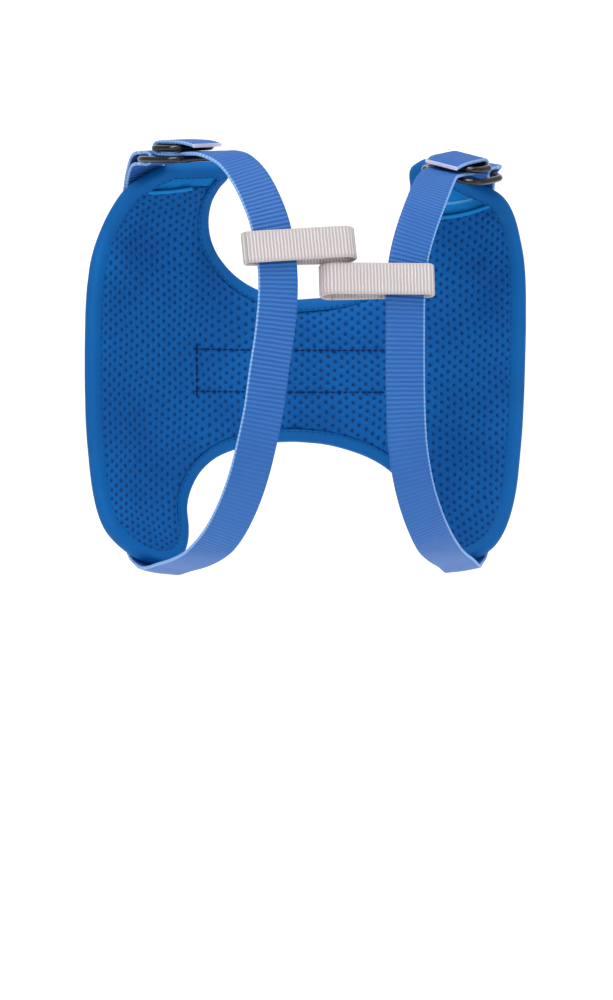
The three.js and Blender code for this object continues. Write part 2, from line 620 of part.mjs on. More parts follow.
// The webbing tab that holds the base frame's rear bar: sewn to the lobe, round the bar and back
function tabGuides(side) {
  const frame = buckleFrame(side);
  const { across, edgeDown, endDown } = TAB_SEWN[side];
  const middleDown = (edgeDown + endDown) / 2;
  const overEdge = (layers) => {
    const guide = lobeGuide(side, across, edgeDown, layers);
    guide.point.z += WEBBING_THICKNESS;
    return guide;
  };
  const turn = halfTurn(frame, -BASE_BAR, 0, BAR_REACH).map((guide) => ({
    ...guide, face: guide.face.clone().negate(),
  }));
  const back = lobeGuide(side, across, middleDown, 1);
  const behindBar = -BASE_BAR - BAR_WIDTH - WEBBING_THICKNESS;
  return [
    lobeGuide(side, across, endDown, 2),
    lobeGuide(side, across, middleDown, 2),
    overEdge(2),
    { ...turn[0], point: frame.at(behindBar, WEBBING_LAYER) },
    ...turn,
    { ...turn[turn.length - 1], point: frame.at(behindBar, -WEBBING_LAYER) },
    { ...overEdge(1), face: overEdge(1).face.negate() },
    { ...back, face: back.face.negate() },
  ];
}

// A closed band of webbing, seen from the front as a long low rectangle. Its front is straight, one end
// is narrow round the strap and the end at the centre line is wider, with room for a rope.
function tieInLoop(side, material) {
  const sign = SIDE_SIGNS[side];
  const place = LOOP_PLACES[side];
  const wantedZ = downToZ(place.down);
  const stations = webbingStations(strapGuides(side)).filter((station) => station.along.z < -0.5);
  stations.sort((a, b) => Math.abs(a.point.z - wantedZ) - Math.abs(b.point.z - wantedZ));
  const [lower, upper] = stations.slice(0, 2).sort((a, b) => a.point.z - b.point.z);
  const share = (wantedZ - lower.point.z) / (upper.point.z - lower.point.z);
  const strapMiddle = lower.point.clone().lerp(upper.point, share);
  const height = lower.along.clone().lerp(upper.along, share).setX(0).normalize().negate();
  const roll = THREE.MathUtils.degToRad(place.roll);
  const length = new THREE.Vector3(-sign, 0, 0).applyAxisAngle(new THREE.Vector3(0, sign, 0), roll);
  const back = new THREE.Vector3().crossVectors(height, new THREE.Vector3(1, 0, 0)).normalize();
  if (back.y < 0) {
    back.negate();
  }
  const rise = new THREE.Vector3().crossVectors(back, length).normalize();
  if (rise.z < 0) {
    rise.negate();
  }
  const centre = strapMiddle.clone().setX(sign * (LOOP_LENGTH / 2 - LOOP_OVERLAP));
  const strapRadius = (LOOP_STRAP_DEPTH - LOOP_THICKNESS) / 2;
  const ropeRadius = (LOOP_ROPE_DEPTH - LOOP_THICKNESS) / 2;
  const halfLength = (LOOP_LENGTH - LOOP_THICKNESS) / 2;
  const ends = [
    { way: 1, radius: ropeRadius, middle: ropeRadius - strapRadius },
    { way: -1, radius: strapRadius, middle: 0 },
  ];
  const path = [];
  for (const { way, radius, middle } of ends) {
    for (const degrees of [-90, -60, -30, 0, 30, 60, 90]) {
      const angle = THREE.MathUtils.degToRad(degrees);
      path.push({
        along: way * (halfLength - radius + radius * Math.cos(angle)),
        deep: middle + way * radius * Math.sin(angle),
        outAlong: way * Math.cos(angle),
        outDeep: way * Math.sin(angle),
      });
    }
  }
  const thin = LOOP_THICKNESS / 2;
  const tall = LOOP_HEIGHT / 2;
  const sections = path.map(({ along, deep, outAlong, outDeep }) => (
    [[thin, tall], [thin, -tall], [-thin, -tall], [-thin, tall]].map(([outward, up]) => (
      centre.clone()
        .addScaledVector(length, along + outAlong * outward)
        .addScaledVector(back, deep + outDeep * outward)
        .addScaledVector(rise, up)
    ))
  ));
  return sweptMesh(`${side}_tie_in_loop`, sections, true, material);
}

// The outline of a frame, with round corners and its two ends bowed out a little
function frameOutline(width, length, corner, bow) {
  const x = width / 2;
  const y = length / 2;
  const outline = new THREE.Shape();
  outline.moveTo(-x + corner, -y);
  outline.lineTo(x - corner, -y);
  outline.quadraticCurveTo(x, -y, x, -y + corner);
  outline.quadraticCurveTo(x + bow, 0, x, y - corner);
  outline.quadraticCurveTo(x, y, x - corner, y);
  outline.lineTo(-x + corner, y);
  outline.quadraticCurveTo(-x, y, -x, y - corner);
  outline.quadraticCurveTo(-x - bow, 0, -x, -y + corner);
  outline.quadraticCurveTo(-x, -y, -x + corner, -y);
  return outline;
}

function frameMesh(name, frame, width, length, ahead, height, material) {
  const inset = FRAME_BEVEL;
  const outline = frameOutline(width - 2 * inset, length - 2 * inset, FRAME_CORNER - inset, FRAME_BOW);
  const wall = BAR_WIDTH - inset;
  const window = frameOutline(width - 2 * wall, length - 2 * wall, FRAME_CORNER - BAR_WIDTH / 2, FRAME_BOW);
  outline.holes.push(window);
  const geometry = new THREE.ExtrudeGeometry(outline, {
    depth: BAR_THICKNESS - 2 * FRAME_BEVEL,
    bevelEnabled: true,
    bevelSize: FRAME_BEVEL,
    bevelThickness: FRAME_BEVEL,
    bevelSegments: 1,
    curveSegments: 4,
  });
  geometry.translate(0, 0, -(BAR_THICKNESS - 2 * FRAME_BEVEL) / 2);
  const mesh = new THREE.Mesh(geometry, material);
  const third = new THREE.Vector3().crossVectors(frame.sideways, frame.ahead).normalize();
  const axes = new THREE.Matrix4().makeBasis(frame.sideways, frame.ahead, third);
  mesh.quaternion.setFromRotationMatrix(axes);
  mesh.position.copy(frame.at(ahead, height));
  mesh.name = name;
  return mesh;
}

function finish(color, roughness, metalness) {
  return new THREE.MeshStandardMaterial({ color, roughness, metalness });
}

function buildPanel() {
  const panel = new THREE.Group();
  const shell = finish(SHELL_BLUE, 0.85, 0);
  const lining = finish(LINING_BLUE, 0.9, 0);
  const padLayout = {
    inset: BINDING_WIDTH, ringInset: PAD_INSET, columns: PAD_COLUMNS, rowsLeftOut: { right: 0, left: 0 },
  };
  const liningLayout = {
    inset: BINDING_WIDTH + CLEARANCE,
    ringInset: null,
    columns: LINING_COLUMNS,
    rowsLeftOut: { right: 2 * PLAIN_TOP_ROWS.right, left: 2 * PLAIN_TOP_ROWS.left },
  };
  panel.add(panelShell('back_pad', padLayout, (half) => [-half, half], shell));
  const liningOffsets = (half) => {
    const seat = half + LINING_CLEARANCE;
    return [-seat - LINING_THICKNESS, -seat];
  };
  panel.add(panelShell('mesh_lining', liningLayout, liningOffsets, lining));
  panel.add(edgeBinding(finish(BINDING_BLUE, 0.8, 0)));
  return panel;
}

function buildSide(side) {
  const group = new THREE.Group();
  const webbing = finish(WEBBING_BLUE, 0.75, 0);
  const metal = finish(BUCKLE_BLACK, 0.35, 0.7);
  const frame = buckleFrame(side);
  group.add(webbingMesh(`${side}_strap`, strapGuides(side), webbing));
  group.add(webbingMesh(`${side}_buckle_tab`, tabGuides(side), webbing));
  group.add(frameMesh(`${side}_buckle_base`, frame, BASE_WIDTH, BASE_LENGTH, 0, 0, metal));
  group.add(frameMesh(
    `${side}_buckle_slider`, frame, SLIDER_WIDTH, SLIDER_LENGTH, SLIDER_AHEAD, SLIDER_HEIGHT, metal,
  ));
  group.add(tieInLoop(side, finish(LOOP_GREY, 0.8, 0)));
  return group;
}

const harness = new THREE.Group();
harness.name = 'climbing_chest_harness';
harness.add(buildPanel());
for (const side of SIDES) {
  harness.add(buildSide(side));
}

export default harness;
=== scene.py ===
"""Looks of a child's climbing chest harness in its worn shape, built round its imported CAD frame.

The frame gives every piece its place: webbing follows the middle line of its CAD node, the wrapped edge
follows the rim of the pad, and the pad is a copy of its CAD solid blown up as cloth. Lengths are in metres,
+Z is up, the wearer faces -Y and the wearer's right is -X.
"""

from __future__ import annotations

import json
import logging
import math
from collections.abc import Iterator
from contextlib import contextmanager
from dataclasses import dataclass, field
from enum import Enum

import bmesh
import bpy
import numpy as np
from mathutils import Matrix, Vector, noise
from mathutils.bvhtree import BVHTree
from mathutils.kdtree import KDTree

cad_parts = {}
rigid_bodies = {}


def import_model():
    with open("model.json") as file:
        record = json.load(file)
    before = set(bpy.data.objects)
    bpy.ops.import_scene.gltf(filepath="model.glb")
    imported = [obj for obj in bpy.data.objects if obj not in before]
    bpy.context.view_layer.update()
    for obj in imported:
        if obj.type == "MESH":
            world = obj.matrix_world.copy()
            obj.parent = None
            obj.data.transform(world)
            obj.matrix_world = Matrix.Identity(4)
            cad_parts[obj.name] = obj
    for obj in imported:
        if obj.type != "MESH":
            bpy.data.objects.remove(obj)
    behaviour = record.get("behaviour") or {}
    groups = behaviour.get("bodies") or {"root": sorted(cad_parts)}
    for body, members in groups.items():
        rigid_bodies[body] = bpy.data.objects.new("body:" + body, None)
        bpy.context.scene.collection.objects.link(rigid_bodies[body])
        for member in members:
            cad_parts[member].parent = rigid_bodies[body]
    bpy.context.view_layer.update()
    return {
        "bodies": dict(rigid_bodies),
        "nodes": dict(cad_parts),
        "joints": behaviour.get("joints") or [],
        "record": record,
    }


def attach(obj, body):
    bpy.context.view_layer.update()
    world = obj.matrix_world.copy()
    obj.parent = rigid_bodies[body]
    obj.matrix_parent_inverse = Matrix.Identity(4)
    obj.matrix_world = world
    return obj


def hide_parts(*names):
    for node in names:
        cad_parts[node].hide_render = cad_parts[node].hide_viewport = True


MM = 0.001
MERGE_DISTANCE = 1e-6
ROOT_BODY = "root"

log = logging.getLogger("harness")


class Side(Enum):
    """The wearer's two sides, by the sign of X."""

    RIGHT = -1
    LEFT = 1

    @property
    def word(self) -> str:
        """The side's word in node names."""
        return self.name.lower()


class Slot(Enum):
    """The record's material slots."""

    SHELL = "shell_fabric"
    LINING = "lining_mesh"
    BINDING = "binding_fabric"
    WEBBING = "blue_webbing"
    LOOP = "loop_webbing"
    BUCKLE = "buckle_metal"


def linear_colour(red: int, green: int, blue: int) -> tuple[float, float, float, float]:
    """Turns a screen colour into the linear colour that shaders read.

    Args:
        red: Red from 0 to 255.
        green: Green from 0 to 255.
        blue: Blue from 0 to 255.

    Returns:
        Linear red, green, blue and an alpha of 1.
    """
    channels = [channel / 255 for channel in (red, green, blue)]
    linear = [c / 12.92 if c <= 0.04045 else ((c + 0.055) / 1.055) ** 2.4 for c in channels]
    return (linear[0], linear[1], linear[2], 1.0)


def smooth_step(value: np.ndarray | float, low: float, high: float) -> np.ndarray | float:
    """Rises smoothly from 0 at low to 1 at high.

    Args:
        value: The numbers to read.
        low: Where the rise starts.
        high: Where it ends.

    Returns:
        The share of the rise for each number.
    """
    share = np.clip((value - low) / (high - low), 0.0, 1.0)
    return share * share * (3 - 2 * share)


class Graph:
    """Adds nodes to one shader tree and joins their sockets."""

    def __init__(self, tree: bpy.types.NodeTree) -> None:
        """Keeps the tree that the nodes go into."""
        self.tree = tree

    def node(self, kind: str, **settings: object) -> bpy.types.Node:
        """Adds a node.

        Args:
            kind: Blender's name of the node type.
            **settings: Attributes to set on it.

        Returns:
            The new node.
        """
        made = self.tree.nodes.new(kind)
        for name, value in settings.items():
            setattr(made, name, value)
        return made

    def feed(self, target: bpy.types.NodeSocket, value: object) -> None:
        """Joins a socket to an input, or sets the input to a plain value.

        Args:
            target: The input socket.
            value: An output socket, a number or a colour.
        """
        if isinstance(value, bpy.types.NodeSocket):
            self.tree.links.new(value, target)
        else:
            target.default_value = value

    def math(self, operation: str, *values: object, kind: str = "ShaderNodeMath") -> bpy.types.NodeSocket:
        """Adds a Math node.

        Args:
            operation: Blender's name of the operation.
            *values: Its inputs, each a socket or a number.
            kind: Blender's name of the node type.

        Returns:
            The result socket.
        """
        made = self.node(kind, operation=operation)
        for target, value in zip(made.inputs, values):
            self.feed(target, value)
        return made.outputs[0]

    def vector_math(self, operation: str, *values: object) -> bpy.types.NodeSocket:
        """Adds a Vector Math node."""
        return self.math(operation, *values, kind="ShaderNodeVectorMath")

    def rise(self, value: object, low: float, high: float) -> bpy.types.NodeSocket:
        """Adds a smooth rise from 0 at low to 1 at high.

        Args:
            value: The socket to read.
            low: Where the rise starts.
            high: Where it ends.

        Returns:
            The result socket.
        """
        made = self.node("ShaderNodeMapRange", interpolation_type="SMOOTHSTEP")
        for name, number in (("Value", value), ("From Min", low), ("From Max", high)):
            self.feed(made.inputs[name], number)
        return made.outputs["Result"]

    def mix(self, share: object, first: object, second: object, blend: str = "MIX") -> bpy.types.NodeSocket:
        """Adds a colour mix.

        Args:
            share: How much of the second colour shows.
            first: The first colour.
            second: The second colour.
            blend: Blender's name of the blend type.

        Returns:
            The colour socket.
        """
        made = self.node("ShaderNodeMix", data_type="RGBA", blend_type=blend)
        self.feed(made.inputs[0], share)
        self.feed(made.inputs[6], first)
        self.feed(made.inputs[7], second)
        return made.outputs[2]

    def settle(self, node: bpy.types.Node, **values: object) -> bpy.types.Node:
        """Feeds a node's inputs.

        Args:
            node: The node.
            **values: Its inputs by name, with _ for a space.

        Returns:
            The same node.
        """
        for name, value in values.items():
            self.feed(node.inputs[name.replace("_", " ")], value)
        return node

    def group(self, group: bpy.types.NodeTree, **values: object) -> bpy.types.Node:
        """Places a shared effect and feeds its inputs."""
        return self.settle(self.node("ShaderNodeGroup", node_tree=group), **values)

    def noise(self, place: object, scale: float, detail: float) -> bpy.types.Node:
        """Adds a noise texture that reads a place."""
        return self.settle(self.node("ShaderNodeTexNoise"), Vector=place, Scale=scale, Detail=detail)

    def parts(self, place: object) -> list[bpy.types.NodeSocket]:
        """Splits a place into its three numbers."""
        return list(self.settle(self.node("ShaderNodeSeparateXYZ"), Vector=place).outputs)

    def flat_map(self) -> bpy.types.NodeSocket:
        """The piece's own flat map, in metres."""
        return self.node("ShaderNodeUVMap", uv_map="flat").outputs["UV"]

    def place(self) -> bpy.types.NodeSocket:
        """The place on the piece, in metres."""
        return self.node("ShaderNodeTexCoord").outputs["Object"]


class Effects:
    """The effects that several finishes share, each a node group that is built once."""

    def __init__(self) -> None:
        """Builds every group."""
        self.tone = self._cloth_tone()
        self.weave = self._fine_weave()
        self.ribs = self._woven_ribs()
        self.holes = self._hole_lattice()
        self.highlight_and_grain = self._bulge_highlight_and_grain()

    @staticmethod
    def _new_group(
        name: str, inputs: dict[str, tuple[str, float]], outputs: dict[str, str]
    ) -> tuple[Graph, bpy.types.Node, bpy.types.Node]:
        """Starts a group with named sockets.

        Args:
            name: The group's name.
            inputs: Each input's socket type and value.
            outputs: Each output's socket type.

        Returns:
            The group's graph, its input node and its output node.
        """
        tree = bpy.data.node_groups.new(name, "ShaderNodeTree")
        for label, (kind, value) in inputs.items():
            socket = tree.interface.new_socket(label, in_out="INPUT", socket_type=kind)
            if kind == "NodeSocketFloat":
                socket.default_value = value
        for label, kind in outputs.items():
            tree.interface.new_socket(label, in_out="OUTPUT", socket_type=kind)
        graph = Graph(tree)
        return graph, graph.node("NodeGroupInput"), graph.node("NodeGroupOutput")

    def _cloth_tone(self) -> bpy.types.NodeTree:
        """Soft patches and fine speckle in a cloth's colour.

        Returns:
            The effect's node group.
        """
        graph, given, out = self._new_group(
            "cloth_tone",
            {
                "Vector": ("NodeSocketVector", 0.0),
                "Colour": ("NodeSocketColor", 0.0),
                "Shade": ("NodeSocketColor", 0.0),
                "Amount": ("NodeSocketFloat", 0.35),
            },
            {"Colour": "NodeSocketColor"},
        )
        patches = graph.noise(given.outputs["Vector"], 38.0, 3.0)
        speckle = graph.noise(given.outputs["Vector"], 1500.0, 1.0)
        large = graph.rise(patches.outputs["Fac"], 0.35, 0.68)
        small = graph.rise(speckle.outputs["Fac"], 0.3, 0.7)
        both = graph.math("MULTIPLY_ADD", small, 0.35, graph.math("MULTIPLY", large, 0.65))
        share = graph.math("MULTIPLY", both, given.outputs["Amount"])
        graph.feed(out.inputs["Colour"], graph.mix(share, given.outputs["Colour"], given.outputs["Shade"]))
        return graph.tree

    def _fine_weave(self) -> bpy.types.NodeTree:
        """Threads that cross each other, one pitch apart, over a flat map in metres.

        Returns:
            The effect's node group.
        """
        graph, given, out = self._new_group(
            "fine_weave",
            {"Vector": ("NodeSocketVector", 0.0), "Pitch": ("NodeSocketFloat", 0.0006)},
            {"Height": "NodeSocketFloat"},
        )
        parts = graph.parts(given.outputs["Vector"])
        turns = graph.math("DIVIDE", 2 * math.pi, given.outputs["Pitch"])
        across = graph.math("SINE", graph.math("MULTIPLY", parts[0], turns))
        down = graph.math("SINE", graph.math("MULTIPLY", parts[1], turns))
        crossed = graph.math("MULTIPLY", across, down)
        graph.feed(out.inputs["Height"], graph.math("MULTIPLY_ADD", crossed, 0.5, 0.5))
        return graph.tree

    def _woven_ribs(self) -> bpy.types.NodeTree:
        """Ribs across a webbing, its edge band and the small loops of thread along that band.

        Returns:
            The effect's node group.
        """
        graph, given, out = self._new_group(
            "woven_ribs",
            {
                "Vector": ("NodeSocketVector", 0.0),
                "Pitch": ("NodeSocketFloat", 0.0018),
                "Half Width": ("NodeSocketFloat", 0.008),
                "Edge Width": ("NodeSocketFloat", 0.0008),
                "Second Edge": ("NodeSocketFloat", 0.0),
            },
            {"Crest": "NodeSocketFloat", "Edge": "NodeSocketFloat", "Yarn": "NodeSocketFloat"},
        )
        parts = graph.parts(given.outputs["Vector"])
        turns = graph.math("DIVIDE", parts[1], given.outputs["Pitch"])
        wave = graph.math("COSINE", graph.math("MULTIPLY", turns, 2 * math.pi))
        crest = graph.math("MULTIPLY_ADD", wave, 0.5, 0.5)
        graph.feed(out.inputs["Crest"], crest)
        other = graph.math("MULTIPLY", graph.math("MULTIPLY", parts[0], -1.0), given.outputs["Second Edge"])
        reach = graph.math("MAXIMUM", parts[0], other)
        start = graph.math("SUBTRACT", given.outputs["Half Width"], given.outputs["Edge Width"])
        inside = graph.math("SUBTRACT", reach, start)
        share = graph.math("DIVIDE", inside, graph.math("MULTIPLY", given.outputs["Edge Width"], 0.6))
        band = graph.math("MINIMUM", graph.math("MAXIMUM", share, 0.0), 1.0)
        dots = graph.math("MULTIPLY_ADD", crest, 0.45, 0.55)
        graph.feed(out.inputs["Edge"], graph.math("MULTIPLY", band, dots))
        yarn_turns = graph.math("MULTIPLY", parts[0], 2 * math.pi / 0.00055)
        yarn = graph.math("SINE", graph.math("MULTIPLY_ADD", turns, math.pi, yarn_turns))
        graph.feed(out.inputs["Yarn"], graph.math("MULTIPLY_ADD", yarn, 0.5, 0.5))
        return graph.tree

    def _hole_lattice(self) -> bpy.types.NodeTree:
        """Oval holes in staggered columns, over a flat map in metres.

        Returns:
            The effect's node group.
        """
        graph, given, out = self._new_group(
            "hole_lattice",
            {
                "Vector": ("NodeSocketVector", 0.0),
                "Column Pitch": ("NodeSocketFloat", 0.00275),
                "Row Pitch": ("NodeSocketFloat", 0.0039),
                "Radius": ("NodeSocketFloat", 0.0006),
            },
            {"Hole": "NodeSocketFloat", "Slope": "NodeSocketFloat"},
        )
        parts = graph.parts(given.outputs["Vector"])
        pair_pitch = graph.math("MULTIPLY", given.outputs["Column Pitch"], 2.0)
        distances = []
        for shift in (0.0, 0.5):
            sides = []
            for part, pitch in ((parts[0], pair_pitch), (parts[1], given.outputs["Row Pitch"])):
                place = graph.math("ADD", graph.math("DIVIDE", part, pitch), shift + 100.0)
                centred = graph.math("SUBTRACT", graph.math("FRACT", place), 0.5)
                sides.append(graph.math("MULTIPLY", centred, pitch))
            tall = graph.math("MULTIPLY", sides[1], 0.8)
            squares = graph.math("ADD", graph.math("POWER", sides[0], 2.0), graph.math("POWER", tall, 2.0))
            distances.append(graph.math("SQRT", squares))
        nearest = graph.math("MINIMUM", *distances)
        ratio = graph.math("DIVIDE", nearest, given.outputs["Radius"])
        graph.feed(out.inputs["Hole"], graph.math("SUBTRACT", 1.0, graph.rise(ratio, 0.72, 1.18)))
        graph.feed(out.inputs["Slope"], graph.rise(ratio, 0.5, 2.1))
        return graph.tree

    def _bulge_highlight_and_grain(self) -> bpy.types.NodeTree:
        """Painted highlight, broken into small patches, where a coated bar bulges, and faint scratches over the rest.

        Returns:
            The effect's node group.
        """
        graph, given, out = self._new_group(
            "bulge_highlight_and_grain",
            {"Vector": ("NodeSocketVector", 0.0), "Amount": ("NodeSocketFloat", 0.5)},
            {"Mask": "NodeSocketFloat", "Grain": "NodeSocketFloat"},
        )
        geometry = graph.node("ShaderNodeNewGeometry")
        bulge = graph.rise(geometry.outputs["Pointiness"], 0.52, 0.62)
        marks = graph.noise(given.outputs["Vector"], 900.0, 4.0)
        broken = graph.math("MULTIPLY", bulge, graph.rise(marks.outputs["Fac"], 0.45, 0.65))
        graph.feed(out.inputs["Mask"], graph.math("MULTIPLY", broken, given.outputs["Amount"]))
        graph.feed(out.inputs["Grain"], marks.outputs["Fac"])
        return graph.tree


class Finish:
    """Starts a material with its Principled shader."""

    def start(self, name: str) -> tuple[bpy.types.Material, Graph, bpy.types.Node]:
        """Makes an empty node material.

        Args:
            name: The material's name.

        Returns:
            The material, its graph and its Principled node.
        """
        material = bpy.data.materials.new(name)
        material.use_nodes = True
        graph = Graph(material.node_tree)
        return material, graph, material.node_tree.nodes["Principled BSDF"]

    def bump(self, graph: Graph, shader: bpy.types.Node, layers: list[tuple[object, float]]) -> None:
        """Gives a shader its relief.

        Args:
            graph: The material's graph.
            shader: The Principled node.
            layers: Height sockets, each with its depth in metres, coarsest first.
        """
        normal = None
        for height, depth in layers:
            relief = graph.settle(graph.node("ShaderNodeBump"), Strength=1.0, Distance=depth, Height=height)
            if normal is not None:
                graph.feed(relief.inputs["Normal"], normal)
            normal = relief.outputs["Normal"]
        graph.feed(shader.inputs["Normal"], normal)


@dataclass(frozen=True)
class MeshLiningFinish(Finish):
    """Perforated knit against the wearer's back."""

    column_pitch: float = 2.75 * MM
    row_pitch: float = 3.95 * MM
    hole_radius: float = 0.62 * MM
    pull: float = 5.0 * MM
    colour: tuple = linear_colour(0, 86, 155)
    shade: tuple = linear_colour(0, 69, 136)
    # The hole colour is painted shade, the dark seen down inside each hole.
    hole: tuple = linear_colour(0, 46, 94)

    def build(self, effects: Effects) -> bpy.types.Material:
        """Builds the material.

        Args:
            effects: The shared node groups.

        Returns:
            The new material.
        """
        material, graph, shader = self.start("mesh_lining")
        flat, place = graph.flat_map(), graph.place()
        pull = graph.noise(place, 42.0, 2.0).outputs["Color"]
        centred = graph.vector_math("SUBTRACT", pull, (0.5, 0.5, 0.5))
        flat = graph.vector_math("MULTIPLY_ADD", centred, (self.pull, self.pull, 0.0), flat)
        holes = graph.group(
            effects.holes, Vector=flat, Column_Pitch=self.column_pitch, Row_Pitch=self.row_pitch,
            Radius=self.hole_radius,
        )
        tone = graph.group(effects.tone, Vector=place, Colour=self.colour, Shade=self.shade, Amount=0.8)
        weave = graph.group(effects.weave, Vector=flat, Pitch=0.9 * MM)
        knit = graph.mix(
            graph.math("MULTIPLY", weave.outputs["Height"], 0.3), tone.outputs["Colour"], self.shade
        )
        # Painted shade: the holes take the dark hole colour.
        colour = graph.mix(holes.outputs["Hole"], knit, self.hole)
        graph.settle(shader, Base_Color=colour, Roughness=0.8, Specular_IOR_Level=0.15)
        self.bump(graph, shader, [(holes.outputs["Slope"], 0.5 * MM), (weave.outputs["Height"], 0.05 * MM)])
        return material


@dataclass(frozen=True)
class PlainClothFinish(Finish):
    """Smooth close-woven cloth, for the shell of the pad and its wrapped edge."""

    name: str
    colour: tuple
    shade: tuple
    pitch: float = 0.5 * MM
    sheen: float = 0.08
    sheen_tint: tuple = linear_colour(40, 190, 245)
    roughness: float = 0.6

    def build(self, effects: Effects) -> bpy.types.Material:
        """Builds the material.

        Args:
            effects: The shared node groups.

        Returns:
            The new material.
        """
        material, graph, shader = self.start(self.name)
        flat, place = graph.flat_map(), graph.place()
        tone = graph.group(effects.tone, Vector=place, Colour=self.colour, Shade=self.shade, Amount=0.6)
        weave = graph.group(effects.weave, Vector=flat, Pitch=self.pitch)
        threads = graph.math("MULTIPLY", weave.outputs["Height"], 0.22)
        colour = graph.mix(threads, tone.outputs["Colour"], self.shade)
        graph.settle(shader, Base_Color=colour, Roughness=self.roughness, Specular_IOR_Level=0.12)
        graph.settle(shader, Sheen_Weight=self.sheen, Sheen_Roughness=0.3, Sheen_Tint=self.sheen_tint)
        self.bump(graph, shader, [(weave.outputs["Height"], 0.035 * MM)])
        return material


@dataclass(frozen=True)
class WebbingFinish(Finish):
    """Ribbed webbing with lighter threads along its two edges, a painted highlight on its rib crests and painted shade
    in its grooves.
    """

    name: str
    # The first colour below is a painted highlight for the rib crests, the second a painted shade for the grooves
    # between ribs.
    crest: tuple
    groove_shade: tuple
    edge: tuple
    pitch: float
    width: float
    edge_width: float
    edge_strength: float = 0.7
    second_edge: float = 0.0
    end_band: float = 0.0
    end_colour: tuple = linear_colour(214, 210, 228)
    roughness: float = 0.5

    def build(self, effects: Effects) -> bpy.types.Material:
        """Builds the material.

        Args:
            effects: The shared node groups.

        Returns:
            The new material.
        """
        material, graph, shader = self.start(self.name)
        flat, place = graph.flat_map(), graph.place()
        ribs = graph.group(
            effects.ribs, Vector=flat, Pitch=self.pitch, Half_Width=self.width / 2, Edge_Width=self.edge_width,
            Second_Edge=self.second_edge,
        )
        # Painted light on the ribs: crests are mixed towards the lighter crest colour as painted highlight and grooves
        # towards the darker colour as painted shade; this contrast is full high up, where light grazes the strap, and
        # drops to a quarter lower down.
        ribbed = graph.math("MULTIPLY_ADD", graph.rise(graph.parts(place)[2], -130 * MM, -80 * MM), 0.75, 0.25)
        crest = graph.math("SUBTRACT", graph.rise(ribs.outputs["Crest"], 0.25, 0.95), 0.5)
        crest = graph.math("MULTIPLY_ADD", crest, ribbed, 0.5)
        woven = graph.mix(crest, self.groove_shade, self.crest)
        yarn = graph.math("MULTIPLY", ribs.outputs["Yarn"], 0.25)
        tone = graph.group(effects.tone, Vector=place, Colour=woven, Shade=self.groove_shade, Amount=0.4)
        threaded = graph.mix(yarn, tone.outputs["Colour"], self.groove_shade)
        colour = graph.mix(graph.math("MULTIPLY", ribs.outputs["Edge"], self.edge_strength), threaded, self.edge)
        if self.end_band > 0:
            # The stretch within end_band of the webbing's upper end, with its cut face, takes the pale end colour.
            end_band_share = graph.math("LESS_THAN", graph.parts(flat)[1], self.end_band)
            colour = graph.mix(end_band_share, colour, self.end_colour)
        graph.settle(shader, Base_Color=colour, Roughness=self.roughness, Specular_IOR_Level=0.25)
        self.bump(graph, shader, [(ribs.outputs["Crest"], 0.12 * MM), (ribs.outputs["Yarn"], 0.03 * MM)])
        return material


@dataclass(frozen=True)
class BuckleFinish(Finish):
    """Glossy black coating on bent bar, with a painted pale brown highlight where it bulges."""

    colour: tuple = linear_colour(8, 8, 8)
    # The second colour is a painted highlight, pale brown, for where the bar bulges.
    bulge_highlight: tuple = linear_colour(46, 42, 36)

    def build(self, effects: Effects) -> bpy.types.Material:
        """Builds the material.

        Args:
            effects: The shared node groups.

        Returns:
            The new material.
        """
        material, graph, shader = self.start("buckle_coating")
        place = graph.place()
        highlight_and_grain = graph.group(effects.highlight_and_grain, Vector=place, Amount=0.6)
        # Painted highlight: the bar's bulges are mixed towards the pale brown colour, in patches broken up by noise.
        colour = graph.mix(highlight_and_grain.outputs["Mask"], self.colour, self.bulge_highlight)
        rough = graph.math("MULTIPLY_ADD", highlight_and_grain.outputs["Grain"], 0.2, 0.12)
        graph.settle(shader, Base_Color=colour, Roughness=rough, Metallic=0.1, Specular_IOR_Level=0.35)
        graph.settle(shader, Coat_Weight=0.25, Coat_Roughness=0.12)
        self.bump(graph, shader, [(highlight_and_grain.outputs["Grain"], 0.02 * MM)])
        return material


@dataclass(frozen=True)
class ThreadFinish(Finish):
    """Twisted sewing thread."""

    name: str
    colour: tuple

    def build(self, effects: Effects) -> bpy.types.Material:
        """Builds the material.

        Args:
            effects: The shared node groups.

        Returns:
            The new material.
        """
        material, graph, shader = self.start(self.name)
        place = graph.place()
        dark = tuple(0.55 * part for part in self.colour[:3]) + (1.0,)
        tone = graph.group(effects.tone, Vector=place, Colour=self.colour, Shade=dark, Amount=0.6)
        weave = graph.group(effects.weave, Vector=place, Pitch=0.3 * MM)
        graph.settle(shader, Base_Color=tone.outputs["Colour"], Roughness=0.7, Specular_IOR_Level=0.1)
        self.bump(graph, shader, [(weave.outputs["Height"], 0.05 * MM)])
        return material


def clear_selection() -> None:
    """Deselects everything, because an operator acts on all that is selected."""
    if bpy.context.object and bpy.context.object.mode != "OBJECT":
        bpy.ops.object.mode_set(mode="OBJECT")
    bpy.ops.object.select_all(action="DESELECT")


def pick(piece: bpy.types.Object) -> None:
    """Selects one piece alone and makes it the active one."""
    clear_selection()
    piece.select_set(True)
    bpy.context.view_layer.objects.active = piece


def link(item: bpy.types.Object) -> bpy.types.Object:
    """Links an object to the scene."""
    bpy.context.scene.collection.objects.link(item)
    return item


@contextmanager
def editing(piece: bpy.types.Object) -> Iterator[None]:
    """Holds edit mode on one piece alone, with its whole mesh selected.

    Args:
        piece: The piece to work on.

    Yields:
        Nothing; the operators run inside the block.
    """
    pick(piece)
    bpy.ops.object.mode_set(mode="EDIT")
    bpy.ops.mesh.select_all(action="SELECT")
    yield
    bpy.ops.object.mode_set(mode="OBJECT")


